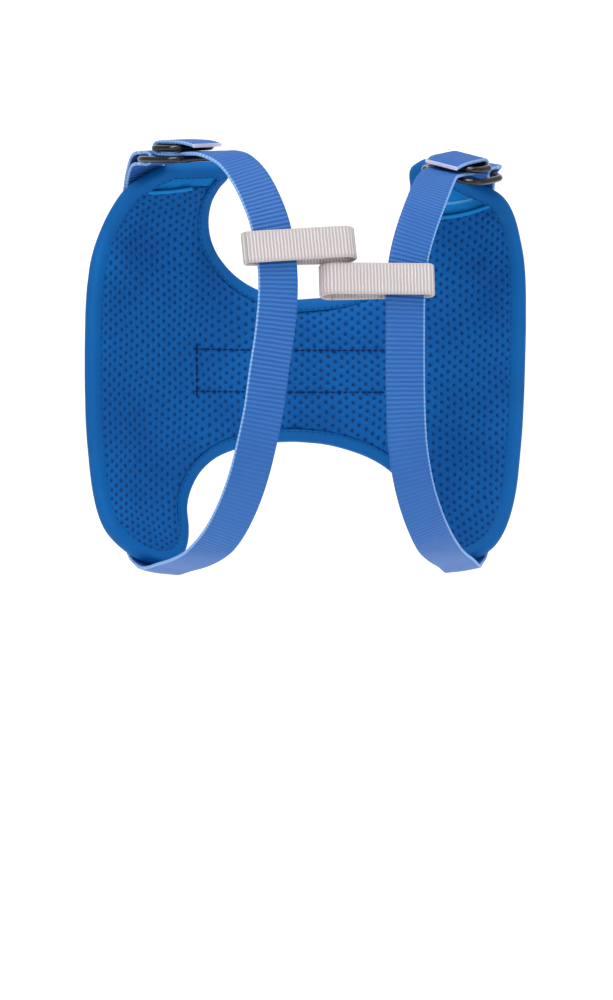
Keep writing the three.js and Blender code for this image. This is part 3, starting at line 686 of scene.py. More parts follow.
def face_outward(piece: bpy.types.Object) -> None:
    """Turns every face of a closed piece outward."""
    with editing(piece):
        bpy.ops.mesh.normals_make_consistent(inside=False)


def mesh_piece(name: str, points: np.ndarray, faces: list, flat: np.ndarray | None = None) -> bpy.types.Object:
    """Makes a piece from points and faces.

    Args:
        name: The piece's name.
        points: One row of three numbers a point, in metres.
        faces: Point numbers of each face.
        flat: The flat map's two numbers for each point, in metres.

    Returns:
        The new object, linked to the scene.
    """
    mesh = bpy.data.meshes.new(name)
    mesh.from_pydata([tuple(point) for point in points], [], faces)
    if flat is not None:
        write_flat_map(mesh, flat)
    mesh.validate()
    return link(bpy.data.objects.new(name, mesh))


def write_flat_map(mesh: bpy.types.Mesh, flat: np.ndarray) -> None:
    """Writes a flat map, in metres, from one pair of numbers a point.

    Args:
        mesh: The mesh that gets the map.
        flat: The map's place of each point.
    """
    layer = mesh.uv_layers.new(name="flat")
    corners = np.zeros(len(mesh.loops), int)
    mesh.loops.foreach_get("vertex_index", corners)
    layer.data.foreach_set("uv", flat[corners].astype(np.float32).ravel())


def mesh_points(mesh: bpy.types.Mesh) -> np.ndarray:
    """Reads where a mesh's points are.

    Args:
        mesh: The mesh.

    Returns:
        One row of three numbers for each point.
    """
    points = np.zeros(len(mesh.vertices) * 3)
    mesh.vertices.foreach_get("co", points)
    return points.reshape(-1, 3)


def move_points(mesh: bpy.types.Mesh, points: np.ndarray) -> None:
    """Sets the places of a mesh's points."""
    mesh.vertices.foreach_set("co", points.ravel())
    mesh.update()


def near_tree(points: np.ndarray) -> KDTree:
    """Builds a tree that finds the nearest of some places.

    Args:
        points: The places, one row of three numbers each.

    Returns:
        The balanced tree, with each place's row as its number.
    """
    tree = KDTree(len(points))
    for number, point in enumerate(points):
        tree.insert(point, number)
    tree.balance()
    return tree


def merged_copy(node: bpy.types.Object, name: str) -> bpy.types.Object:
    """Copies a CAD node's mesh into a new piece and joins its loose triangles.

    Args:
        node: The CAD node.
        name: The new piece's name.

    Returns:
        The new piece.
    """
    piece = link(bpy.data.objects.new(name, node.data.copy()))
    piece.data.name = name
    piece.data.materials.clear()
    with editing(piece):
        bpy.ops.mesh.remove_doubles(threshold=MERGE_DISTANCE)
    return piece


def dress(piece: bpy.types.Object, material: bpy.types.Material, node: str | None) -> None:
    """Gives a finished piece its material and its place in the frame.

    Args:
        piece: The piece.
        material: Its finish.
        node: The CAD node that it stands for, if any.
    """
    piece.data.materials.clear()
    piece.data.materials.append(material)
    pick(piece)
    bpy.ops.object.shade_smooth_by_angle(angle=math.radians(50))
    clear_selection()
    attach(piece, ROOT_BODY)
    if node:
        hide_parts(node)
    log.info("%s: %d faces", piece.name, len(piece.data.polygons))


def tube_faces(stations: int, around: int, closed: bool) -> list[list[int]]:
    """Faces of a section carried along stations.

    Args:
        stations: How many sections there are.
        around: How many points a section has.
        closed: Whether the last section joins the first.

    Returns:
        Point numbers of each face, with end faces where it isn't closed.
    """
    faces = []
    for station in range(stations if closed else stations - 1):
        here, there = station * around, (station + 1) % stations * around
        for side in range(around):
            after = (side + 1) % around
            faces.append([here + side, there + side, there + after, here + after])
    if not closed:
        faces.append(list(range(around)))
        faces.append([(stations - 1) * around + side for side in reversed(range(around))])
    return faces


def even_places(points: np.ndarray, step: float, closed: bool) -> tuple[np.ndarray, np.ndarray]:
    """Evenly spaced places along a line of points.

    Args:
        points: The line.
        step: The wanted spacing.
        closed: Whether the line returns to its start.

    Returns:
        The distance of each point from the start, with the whole length last if closed, and the new places.
    """
    line = np.vstack([points, points[:1]]) if closed else points
    gaps = np.linalg.norm(np.diff(line, axis=0), axis=1)
    distance = np.concatenate([[0.0], np.cumsum(gaps)])
    count = max(8, round(distance[-1] / step))
    return distance, np.linspace(0.0, distance[-1], count, endpoint=not closed)


def smooth_line(values: np.ndarray, distance: np.ndarray, places: np.ndarray, closed: bool) -> np.ndarray:
    """Reads rows of numbers at new places with smooth slopes between them.

    Args:
        values: One row for each point.
        distance: Each point's distance from the start.
        places: Where to read.
        closed: Whether the line returns to its start.

    Returns:
        One row for each place.
    """
    rows = np.vstack([values, values[:1]]) if closed else values
    if closed:
        total = distance[-1]
        wide = np.vstack([rows[-2:-1], rows, rows[1:2]])
        spots = np.concatenate([[distance[-2] - total], distance, [total + distance[1]]])
        slopes = ((wide[2:] - wide[:-2]).T / (spots[2:] - spots[:-2])).T
    else:
        slopes = np.gradient(rows, distance, axis=0)
    index = np.clip(np.searchsorted(distance, places, side="right") - 1, 0, len(distance) - 2)
    span = (distance[index + 1] - distance[index])[:, None]
    share = (places - distance[index])[:, None] / span
    start, end = rows[index], rows[index + 1]
    lean_start, lean_end = slopes[index] * span, slopes[index + 1] * span
    return (
        start * (2 * share**3 - 3 * share**2 + 1) + lean_start * (share**3 - 2 * share**2 + share)
        + end * (3 * share**2 - 2 * share**3) + lean_end * (share**3 - share**2)
    )


def unit_rows(rows: np.ndarray) -> np.ndarray:
    """Rows scaled to length 1."""
    return rows / np.linalg.norm(rows, axis=1)[:, None]


def square_to(up: np.ndarray, ahead: np.ndarray) -> np.ndarray:
    """One direction made square to another, at length 1."""
    square = up - ahead * (up @ ahead)
    return square / np.linalg.norm(square)


def ordered_chains(links: dict[int, list[int]]) -> list[list[int]]:
    """Puts joined items in order.

    Args:
        links: The neighbours of each item, at most two.

    Returns:
        One list for each chain, from an open end where it has one.
    """
    left = set(links)
    chains = []
    while left:
        ends = [item for item in left if len(links[item]) < 2]
        current = min(ends or left)
        chain = []
        while current is not None:
            chain.append(current)
            left.discard(current)
            onward = [item for item in links[current] if item in left]
            current = min(onward) if onward else None
        chains.append(chain)
    return chains


@dataclass
class WebbingRun:
    """The middle line of a webbing, with the way its width and its face point at each station."""

    centres: np.ndarray
    across: np.ndarray
    faces: np.ndarray
    closed: bool

    @classmethod
    def from_node(cls, node: bpy.types.Object, width: float) -> WebbingRun:
        """Reads the run from a CAD node, whose two sides are ladders of edges as long as its width.

        Args:
            node: The CAD node.
            width: The webbing's width.

        Returns:
            The run, station by station.
        """
        mesh = bmesh.new()
        mesh.from_mesh(node.data)
        bmesh.ops.remove_doubles(mesh, verts=mesh.verts, dist=MERGE_DISTANCE)
        mesh.edges.index_update()
        rungs = {edge.index: edge for edge in mesh.edges if abs(edge.calc_length() - width) < 0.001 * MM}
        rung_of = {vertex: index for index, edge in rungs.items() for vertex in edge.verts}
        links = {}
        for index, edge in rungs.items():
            corners = {corner for face in edge.link_faces for corner in face.verts} - set(edge.verts)
            links[index] = sorted({rung_of[corner] for corner in corners})
        chains = [[np.array([v.co for v in rungs[i].verts]) for i in chain] for chain in ordered_chains(links)]
        mesh.free()
        closed = len(chains) == 2
        first, second = chains if closed else cls._halves(chains[0])
        first_middle = np.array([pair.mean(axis=0) for pair in first])
        second_middle = np.array([pair.mean(axis=0) for pair in second])
        if closed:
            start = int(np.argmin(np.linalg.norm(second_middle - first_middle[0], axis=1)))
            second_middle = np.roll(second_middle, -start, axis=0)
            gap = np.linalg.norm(second_middle[[1, -1]] - first_middle[1], axis=1)
            if gap[1] < gap[0]:
                second_middle = np.roll(second_middle[::-1], 1, axis=0)
        across = [first[0][1] - first[0][0]]
        for pair in first[1:]:
            way = pair[1] - pair[0]
            across.append(way if way @ across[-1] > 0 else -way)
        return cls(
            centres=(first_middle + second_middle) / 2,
            across=unit_rows(np.array(across)),
            faces=unit_rows(first_middle - second_middle),
            closed=closed,
        )

    @staticmethod
    def _halves(ring: list[np.ndarray]) -> tuple[list[np.ndarray], list[np.ndarray]]:
        """Splits the ladder round an open strip into its two sides, each from the same end.

        Args:
            ring: The rungs in order round both sides and both cut ends.

        Returns:
            The rungs of one side, and their partners on the other.
        """
        middles = np.array([rung.mean(axis=0) for rung in ring])
        half = len(ring) // 2
        spreads = []
        for shift in range(half):
            turned = np.roll(middles, -shift, axis=0)
            spreads.append(np.abs(turned[:half] - turned[half:][::-1]).sum())
        shift = int(np.argmin(spreads))
        turned = ring[shift:] + ring[:shift]
        return turned[:half], turned[half:][::-1]

    def turned(self) -> WebbingRun:
        """The same run from its other end."""
        return WebbingRun(self.centres[::-1], self.across[::-1], self.faces[::-1], self.closed)

    def resampled(self, step: float) -> tuple[WebbingRun, np.ndarray]:
        """The same run with evenly spaced stations.

        Args:
            step: The wanted spacing.

        Returns:
            The new run and each station's distance along it.
        """
        distance, places = even_places(self.centres, step, self.closed)
        centres, across, faces = (
            smooth_line(rows, distance, places, self.closed) for rows in (self.centres, self.across, self.faces)
        )
        across = unit_rows(across)
        faces = unit_rows(faces - across * np.sum(faces * across, axis=1)[:, None])
        return WebbingRun(centres, across, faces, self.closed), places


@dataclass
class Webbing:
    """A strip of ribbed webbing that follows its CAD node."""

    node: str
    width: float
    thickness: float
    pitch: float
    rib_height: float = 0.1 * MM
    step_share: float = 0.2
    points_across: int = 9
    outer_sign: int = 0
    turn_level: float = -150 * MM
    turn_spread: float = 3.0 * MM
    twist_spread: float = 7.0 * MM
    sewn_length: float = 26 * MM
    fold_bow: float = 3.0 * MM
    sway: float = 0.0
    flat_below: float = -130 * MM
    ribbed_above: float = -85 * MM
    lift_share: float = 0.35
    lift_softness: float = 4 * MM

    def section(self) -> tuple[np.ndarray, np.ndarray]:
        """The outline of the webbing's cut end.

        Returns:
            Each point's place across and through the webbing, and its rib share: 1 on the faces.
        """
        radius = self.thickness / 2
        flat_half = self.width / 2 - radius
        across = np.linspace(-flat_half, flat_half, self.points_across)
        turns = np.radians([54, 18, -18, -54])
        edge = np.column_stack([flat_half + radius * np.cos(turns), radius * np.sin(turns)])
        top = np.column_stack([across, np.full_like(across, radius)])
        outline = np.vstack([top, edge, -top, -edge])
        ribbed = np.concatenate([np.ones(len(top)), np.full(4, 0.35), np.ones(len(top)), np.full(4, 0.35)])
        return outline, ribbed

    def _softened(self, run: WebbingRun) -> WebbingRun:
        """Rounds off the turn under the panel, where the webbing swings from its back to the front.

        Args:
            run: The run at even stations.

        Returns:
            The run with the low part spread out.
        """
        step = self.pitch * self.step_share
        from_end = np.arange(len(run.centres))[::-1] * step
        share = smooth_step(-run.centres[:, 2], -self.turn_level - 40 * MM, -self.turn_level - 10 * MM)
        share = (share * smooth_step(from_end, 0.55 * self.sewn_length, self.sewn_length))[:, None]
        blended = []
        for rows, spread in ((run.centres, self.turn_spread), (run.across, self.twist_spread)):
            reach = int(3 * spread / step)
            weights = np.exp(-0.5 * (np.arange(-reach, reach + 1) * step / spread) ** 2)
            padded = np.pad(rows, ((reach, reach), (0, 0)), mode="edge")
            smooth = [np.convolve(padded[:, axis], weights / weights.sum(), "valid") for axis in range(3)]
            blended.append(rows + (np.column_stack(smooth) - rows) * share)
        along = unit_rows(np.gradient(blended[0], axis=0))
        across = unit_rows(blended[1] - along * np.sum(blended[1] * along, axis=1)[:, None] * share)
        faces = np.cross(along, across)
        faces *= np.sign(np.sum(faces * run.faces, axis=1))[:, None]
        faces = unit_rows(run.faces + (unit_rows(faces) - run.faces) * share)
        return WebbingRun(blended[0], across, faces, False)

    def build(self, frame: dict, name: str) -> bpy.types.Object:
        """Builds the strip's mesh with its flat map.

        Args:
            frame: The loaded frame.
            name: The piece's name.

        Returns:
            The new piece.
        """
        step = self.pitch * self.step_share
        run, places = WebbingRun.from_node(frame["nodes"][self.node], self.width).resampled(step)
        if run.centres[0][2] < run.centres[-1][2]:
            run = run.turned()
        if self.outer_sign and run.across[len(places) // 2][0] * self.outer_sign < 0:
            run.across = -run.across
        if not run.closed:
            run = self._softened(run)
        outline, ribbed = self.section()
        total = places[-1] + places[1]
        pitch = total / round(total / self.pitch) if run.closed else self.pitch
        turns = 2 * math.pi * places / total
        sway = self.sway * (
            np.sin(outline[None, :, 0] * 900 + 5 * turns[:, None])
            + 0.6 * np.sin(outline[None, :, 0] * 1700 - 9 * turns[:, None])
        )
        phase = places[:, None] + sway
        crest = 0.5 + 0.5 * np.cos(2 * math.pi * phase / pitch)
        raised = 1.0 if run.closed else 0.3 + 0.7 * smooth_step(
            run.centres[:, 2], self.flat_below, self.ribbed_above
        )
        swell = (crest - 1.0) * (self.rib_height * np.reshape(raised, (-1, 1))) * ribbed[None, :]
        through = outline[:, 1][None, :] + np.sign(outline[:, 1])[None, :] * swell
        sideways = np.broadcast_to(outline[:, 0], through.shape)
        points = (
            run.centres[:, None, :]
            + sideways[:, :, None] * run.across[:, None, :]
            + through[:, :, None] * run.faces[:, None, :]
        )
        level = run.centres[:, None, 2] + sideways * run.across[:, None, 2]
        under = np.maximum(0.0, self.turn_level - level)
        from_end = np.arange(len(places))[::-1, None] * step
        near_fold = 1.0 - smooth_step(from_end, self.sewn_length + 4 * MM, self.sewn_length + 34 * MM)
        bow = (sideways / (self.width / 2)) ** 2 * smooth_step(under, 5 * MM, 15 * MM) * near_fold
        points[:, :, 2] += self.lift_share * under**2 / (under + self.lift_softness) + self.fold_bow * bow
        flat = np.stack([sideways, phase * self.pitch / pitch], axis=2)
        faces = tube_faces(len(places), len(outline), run.closed)
        piece = mesh_piece(name, points.reshape(-1, 3), faces, flat.reshape(-1, 2))
        face_outward(piece)
        return piece


@dataclass(frozen=True)
class PanelForm:
    """The curved middle surface of the back panel, as a depth over the front view."""

    half_width: float = 93.5 * MM
    height: float = 168 * MM
    top: float = 11 * MM
    back: float = 55 * MM
    side_wrap: float = 36 * MM
    side_roundness: float = 0.83
    top_curl: float = 30 * MM
    top_curl_height: float = 40 * MM
    bottom_curl: float = 22 * MM
    bottom_curl_height: float = 42 * MM

    def wrap(self, x: np.ndarray) -> np.ndarray:
        """How far the sides come forward."""
        reach = np.minimum(np.abs(x) / self.half_width, 1.15) * self.side_roundness
        return self.side_wrap * (1 - np.sqrt(1 - reach**2)) / (1 - math.sqrt(1 - self.side_roundness**2))

    def curl(self, z: np.ndarray) -> np.ndarray:
        """How far the top and the bottom come forward.

        Args:
            z: Heights in the frame.

        Returns:
            The distance forward at each height.
        """
        top_share = np.maximum(0.0, (z - self.top + self.top_curl_height) / self.top_curl_height)
        bottom = self.top - self.height
        bottom_share = np.maximum(0.0, (bottom + self.bottom_curl_height - z) / self.bottom_curl_height)
        return self.top_curl * top_share**2 + self.bottom_curl * bottom_share**2

    def depth(self, x: np.ndarray, z: np.ndarray) -> np.ndarray:
        """How far behind the origin the surface lies."""
        return self.back - self.wrap(x) - self.curl(z)

    def normal(self, x: float, z: float) -> np.ndarray:
        """The way away from the wearer at a point of the front view.

        Args:
            x: The point's place across.
            z: The point's height.

        Returns:
            A direction of length 1.
        """
        step = 0.5 * MM
        slope_x = (self.depth(x + step, z) - self.depth(x - step, z)) / (2 * step)
        slope_z = (self.depth(x, z + step) - self.depth(x, z - step)) / (2 * step)
        way = np.array([-slope_x, 1.0, -slope_z])
        return way / np.linalg.norm(way)

    def flat_map(self, points: np.ndarray) -> np.ndarray:
        """Distances along the surface from its middle, so that a pattern isn't stretched.

        Args:
            points: Places in the frame.

        Returns:
            The map's two numbers for each place.
        """
        across = np.linspace(-1.15 * self.half_width, 1.15 * self.half_width, 600)
        down = np.linspace(self.top - 1.1 * self.height, self.top + 0.1 * self.height, 600)
        maps = []
        for line, forward, column in ((across, self.wrap(across), 0), (down, self.curl(down), 2)):
            length = np.concatenate([[0.0], np.cumsum(np.hypot(np.diff(line), np.diff(forward)))])
            length -= np.interp(0.0, line, length)
            maps.append(np.interp(points[:, column], line, length))
        return np.column_stack(maps)


@dataclass
class PanelRim:
    """The pad's rim as a closed line, with the ways away from the panel and away from the wearer."""

    points: np.ndarray
    outward: np.ndarray
    backward: np.ndarray
    places: np.ndarray

    @classmethod
    def from_pad(cls, node: bpy.types.Object, form: PanelForm, step: float) -> PanelRim:
        """Reads the rim from the pad's CAD node, between its walls and its two faces.

        Args:
            node: The pad's CAD node.
            form: The panel's curved surface.
            step: The wanted spacing.

        Returns:
            The rim with evenly spaced stations.
        """
        mesh = bmesh.new()
        mesh.from_mesh(node.data)
        bmesh.ops.remove_doubles(mesh, verts=mesh.verts, dist=MERGE_DISTANCE)
        mesh.verts.index_update()
        mesh.normal_update()
        walls = set()
        for face in mesh.faces:
            middle = face.calc_center_median()
            if abs(float(form.normal(middle.x, middle.z) @ np.array(face.normal))) < 0.6:
                walls.add(face)
        links: dict[int, list[int]] = {}
        for edge in mesh.edges:
            if sum(face in walls for face in edge.link_faces) == 1:
                one, other = (vertex.index for vertex in edge.verts)
                links.setdefault(one, []).append(other)
                links.setdefault(other, []).append(one)
        mesh.verts.ensure_lookup_table()
        chains = sorted(ordered_chains(links), key=len)[-2:]
        loops = [np.array([mesh.verts[index].co for index in chain]) for chain in chains]
        mesh.free()
        partners = np.argmin(np.linalg.norm(loops[0][:, None, :] - loops[1][None, :, :], axis=2), axis=1)
        middle = (loops[0] + loops[1][partners]) / 2
        distance, places = even_places(middle, step, True)
        points = smooth_line(middle, distance, places, True)
        backward = np.array([form.normal(point[0], point[2]) for point in points])
        along = unit_rows(np.roll(points, -2, axis=0) - np.roll(points, 2, axis=0))
        outward = unit_rows(np.cross(along, backward))
        area = np.sum(points[:, 0] * np.roll(points[:, 2], -1) - points[:, 2] * np.roll(points[:, 0], -1))
        if area > 0:
            outward = -outward
        return cls(points, outward, backward, places)


@dataclass
class Stitches:
    """A row of thread stitches on a surface, each a copy of one small rounded thread."""

    length: float = 2.3 * MM
    gap: float = 0.8 * MM
    radius: float = 0.24 * MM

    def one(self) -> tuple[np.ndarray, list[list[int]]]:
        """Models one stitch along X.

        Returns:
            Its points and faces.
        """
        clear_selection()
        bpy.ops.mesh.primitive_uv_sphere_add(segments=8, ring_count=5, radius=1.0)
        stitch = bpy.context.object
        with editing(stitch):
            bpy.ops.transform.resize(value=(self.length / 2, self.radius, self.radius))
        points = mesh_points(stitch.data)
        faces = [list(face.vertices) for face in stitch.data.polygons]
        bpy.data.objects.remove(stitch)
        return points, faces

    def along(self, line: np.ndarray, closed: bool) -> list[tuple[np.ndarray, np.ndarray]]:
        """Middle and direction of each stitch on a line.

        Args:
            line: Points of the line.
            closed: Whether it returns to its start.

        Returns:
            One middle and one direction for each stitch.
        """
        distance, places = even_places(line, self.length + self.gap, closed)
        middles = smooth_line(line, distance, places, closed)
        ahead = np.gradient(middles, axis=0)
        return list(zip(middles, unit_rows(ahead)))

    def build(self, name: str, marks: list[tuple[np.ndarray, np.ndarray, np.ndarray]]) -> bpy.types.Object:
        """Builds all the stitches of one piece.

        Args:
            name: The piece's name.
            marks: Middle, direction and surface direction of each stitch.

        Returns:
            The new piece.
        """
        points, faces = self.one()
        all_points, all_faces = [], []
        for number, (middle, ahead, up) in enumerate(marks):
            sideways = np.cross(up, ahead)
            axes = np.array([ahead, sideways / max(1e-9, np.linalg.norm(sideways)), up])
            all_points.append(points @ axes + middle)
            all_faces += [[number * len(points) + corner for corner in face] for face in faces]
        return mesh_piece(name, np.vstack(all_points), all_faces)


@dataclass
class BackPanel:
    """The padded butterfly panel: its stuffed pad, mesh lining, wrapped edge and seams."""

    effects: Effects
    frame: dict
    form: PanelForm = field(default_factory=PanelForm)
    cloth_mass: float = 0.2
    cloth_stiffness: float = 18
    cloth_bending: float = 0.4
    cloth_slack: float = 0.015
    cloth_frames: int = 20
    stuffing_pressure: float = 4.0
    swell_limit: float = 1.0 * MM
    pinned_band: float = 7.5 * MM
    binding_reach: float = 4.4 * MM
    binding_nose: float = 1.1 * MM
    rim_half: float = 2.8 * MM
    leg_half: float = 3.4 * MM
    tape_thickness: float = 0.8 * MM
    lining_inset: float = 7.6 * MM
    lining_sink: float = 2.0 * MM
    lining_flat: tuple[float, float] = (195 * MM, 169 * MM)
    lining_area: float = 0.0202
    left_rise: float = 6.0 * MM
    right_rise: float = 6.6 * MM
    slant: float = 0.12
    hem_width: float = 1.7 * MM
    hem_height: float = 1.1 * MM
    hem_lift: float = 0.6 * MM
    hem_drop: float = 0.9 * MM
    zigzag_rise: float = 4.6 * MM
    zigzag_half: float = 0.8 * MM
    patch_left: float = -43.5 * MM
    patch_right: float = 47 * MM
    patch_top: float = -65.5 * MM
    patch_bottom: float = -83.5 * MM
    patch_depth: float = 0.55 * MM
    patch_reach: float = 2.2 * MM
    ripple_depth: float = 0.35 * MM

    def build(self) -> None:
        """Builds every piece of the panel."""
        node = self.frame["nodes"]["back_pad"]
        self.rim = PanelRim.from_pad(node, self.form, 1.4 * MM)
        pad = self._pad()
        lining = self._lining()
        self._binding()
        self._seams(pad, lining)
        self._lobe_top_seams(pad, lining)

    def _rim_distance(self, points: np.ndarray) -> np.ndarray:
        """How far each place lies from the pad's rim."""
        tree = near_tree(self.rim.points)
        return np.array([tree.find(point)[2] for point in points])

    def _pad(self) -> bpy.types.Object:
        """The stuffed pad: cloth blown up round its CAD shape and held at its rim.

        Returns:
            The new piece.
        """
        pad = merged_copy(self.frame["nodes"]["back_pad"], "stuffed_pad")
        self._subdivide(pad, 1)
        rest = mesh_points(pad.data)
        away = self._rim_distance(rest)
        moved = self._simulated(pad, rest, away)
        self.pad_rest, self.pad_shift = rest, moved - rest
        move_points(pad.data, moved)
        self._subdivide(pad, 1)
        write_flat_map(pad.data, self.form.flat_map(mesh_points(pad.data)))
        finish = PlainClothFinish("shell_cloth", linear_colour(2, 114, 184), linear_colour(0, 92, 160))
        dress(pad, finish.build(self.effects), "back_pad")
        return pad

    def _subdivide(self, piece: bpy.types.Object, levels: int) -> None:
        """Subdivides a piece smoothly and keeps its sharp edges.

        Args:
            piece: The piece.
            levels: How many times.
        """
        mesh = bmesh.new()
        mesh.from_mesh(piece.data)
        layer = mesh.edges.layers.float.get("crease_edge") or mesh.edges.layers.float.new("crease_edge")
        for edge in mesh.edges:
            edge[layer] = 1.0 if edge.calc_face_angle(0.0) > math.radians(50) else 0.0
        mesh.to_mesh(piece.data)
        mesh.free()
        pick(piece)
        modifier = piece.modifiers.new("smooth", "SUBSURF")
        modifier.levels = modifier.render_levels = levels
        bpy.ops.object.modifier_apply(modifier=modifier.name)

    def _backward(self, points: np.ndarray) -> np.ndarray:
        """The way away from the wearer at each place."""
        return np.array([self.form.normal(point[0], point[2]) for point in points])

    def _simulated(self, pad: bpy.types.Object, rest: np.ndarray, away: np.ndarray) -> np.ndarray:
        """Blows the pad up as cloth, and limits how far a point may move.

        Args:
            pad: The pad.
            rest: Its points.
            away: Their distances from the rim.

        Returns:
            The pad's new points.
        """
        cloth_piece = link(pad.copy())
        cloth_piece.data = pad.data.copy()
        pins = cloth_piece.vertex_groups.new(name="held")
        held = 1.0 - smooth_step(away, 0.6 * self.pinned_band, 1.3 * self.pinned_band)
        for index, weight in enumerate(held):
            pins.add([index], float(weight), "REPLACE")
        modifier = cloth_piece.modifiers.new("stuffing", "CLOTH")
        settings = modifier.settings
        settings.vertex_group_mass = "held"
        settings.quality = 6
        settings.mass = self.cloth_mass
        settings.tension_stiffness = settings.compression_stiffness = self.cloth_stiffness
        settings.bending_stiffness = self.cloth_bending
        settings.shrink_min = -self.cloth_slack
        settings.use_pressure = True
        settings.uniform_pressure_force = self.stuffing_pressure
        settings.effector_weights.gravity = 0.0
        modifier.point_cache.frame_start, modifier.point_cache.frame_end = 1, self.cloth_frames
        scene = bpy.context.scene
        for number in range(1, self.cloth_frames + 1):
            scene.frame_set(number)
        graph = bpy.context.evaluated_depsgraph_get()
        moved = mesh_points(cloth_piece.evaluated_get(graph).data)
        scene.frame_set(1)
        bpy.data.objects.remove(cloth_piece)
        shift = moved - rest
        reach = np.linalg.norm(shift, axis=1)
        log.info("pad cloth: mean move %.2f mm, most %.2f mm", reach.mean() / MM, reach.max() / MM)
        limited = self.swell_limit * np.tanh(reach / self.swell_limit)
        return rest + shift * (limited / np.maximum(reach, 1e-9))[:, None]

    def _follow_pad(self, points: np.ndarray) -> np.ndarray:
        """How far the pad's front moved under each place.

        Args:
            points: Places on the lining.

        Returns:
            The moves.
        """
        front = self.pad_rest[:, 1] < self.form.depth(self.pad_rest[:, 0], self.pad_rest[:, 2])
        rest, shift = self.pad_rest[front], self.pad_shift[front]
        tree = near_tree(rest)
        moves = np.zeros_like(points)
        for row, point in enumerate(points):
            near = tree.find_n(point, 5)
            weights = np.array([1 / (distance + 0.5 * MM) ** 2 for _, _, distance in near])
            moves[row] = weights @ shift[[index for _, index, _ in near]] / weights.sum()
        return moves

    def _patch_lines(self) -> list[np.ndarray]:
        """The stitched rectangle's four sides, over the front view.

        Returns:
            The points of each side as x and z.
        """
        left, right, top, bottom = self.patch_left, self.patch_right, self.patch_top, self.patch_bottom
        over = 1.5 * MM
        ends = [
            ((left, top), (right, top)), ((left, bottom), (right, bottom)),
            ((left, top + over), (left, bottom - over)), ((right, top + over), (right, bottom - over)),
        ]
        return [np.linspace(start, end, 60) for start, end in ends]

    def _lining(self) -> bpy.types.Object:
        """The perforated lining, which follows the stuffed pad and is drawn in at the stitched rectangle.

        Returns:
            The new piece.
        """
        lining = merged_copy(self.frame["nodes"]["mesh_lining"], "perforated_lining")
        self._subdivide(lining, 2)
        points = self._spread_lining(mesh_points(lining.data))
        moves = self._follow_pad(points)
        lines = np.vstack(self._patch_lines())
        near = np.min(np.hypot(points[:, None, 0] - lines[None, :, 0], points[:, None, 2] - lines[None, :, 1]), axis=1)
        backward = self._backward(points)
        drawn_in = self.patch_depth * np.exp(-((near / self.patch_reach) ** 2))
        ripple = np.array([noise.noise(Vector(point) * 70) for point in points]) * self.ripple_depth
        away = smooth_step(self._rim_distance(points), 5 * MM, 14 * MM)
        points = points + moves + backward * (drawn_in + ripple * away - self.ripple_depth * away)[:, None]
        move_points(lining.data, points)
        write_flat_map(lining.data, self.form.flat_map(points))
        dress(lining, MeshLiningFinish().build(self.effects), "mesh_lining")
        return lining

    def _spread_lining(self, points: np.ndarray) -> np.ndarray:
        """Carries the lining's edge under the wrapped edge and sets its top edge on each lobe.

        Args:
            points: The lining's places.

        Returns:
            The new places.
        """
        height = points[:, 1] - self.form.depth(points[:, 0], points[:, 2])
        slant = self.slant * (70 * MM - points[:, 0])
        lift = np.where(points[:, 0] < 0, self.left_rise, self.right_rise + slant)
        moved = points.copy()
        moved[:, 2] += lift * smooth_step(points[:, 2], -44 * MM, -14 * MM)
        rim = self.rim.points[:, [0, 2]]
        tree = near_tree(self.rim.points * (1.0, 0.0, 1.0))
        found = [tree.find((point[0], 0.0, point[2])) for point in moved]
        gaps = np.array([item[2] for item in found])
        nearest = [item[1] for item in found]
        toward = (rim[nearest] - moved[:, [0, 2]]) / np.maximum(gaps, 1e-6)[:, None]
        wanted = (self.binding_reach - 0.5 * MM) * self.rim.backward[nearest, 1]
        inset = self.lining_inset
        shift = np.minimum((inset - wanted) * (1.0 - smooth_step(gaps, inset, 3 * inset)), gaps - wanted)
        level = 1.0 - smooth_step(points[:, 2], -30 * MM, -14 * MM)
        toward[:, 1] *= np.where(shift > 0, level, 1.0)
        moved[:, [0, 2]] += toward * shift[:, None]
        sink = self.lining_sink * (1.0 - smooth_step(gaps, inset - 0.5 * MM, 1.5 * inset))
        moved[:, 1] = self.form.depth(moved[:, 0], moved[:, 2]) + height + sink
        return moved

    def _binding_section(self) -> np.ndarray:
        """The folded tape's cut end.

        Returns:
            Its outline as distances outward and backward from the pad's rim.
        """
        reach, nose, rim, leg = self.binding_reach, self.binding_nose, self.rim_half, self.leg_half
        outer = np.array([
            (-reach, leg - 0.3 * MM), (-0.97 * reach, leg), (-0.7 * reach, leg + 0.02 * MM),
            (-0.4 * reach, 0.5 * (leg + rim) + 0.1 * MM), (-0.1 * reach, rim + 0.05 * MM),
            (0.35 * nose, 0.86 * rim), (0.72 * nose, 0.6 * rim), (0.95 * nose, 0.28 * rim), (nose, 0.0),
        ])
        inner = np.array([
            (-reach, leg - self.tape_thickness), (-0.5 * reach, 0.5 * (leg + rim) - self.tape_thickness),
            (-0.1 * reach, rim - self.tape_thickness), (nose - self.tape_thickness, 0.3 * rim),
        ])
        flip = np.array([1, -1])
        return np.vstack([outer, (outer[:-1] * flip)[::-1], inner * flip, inner[::-1]])

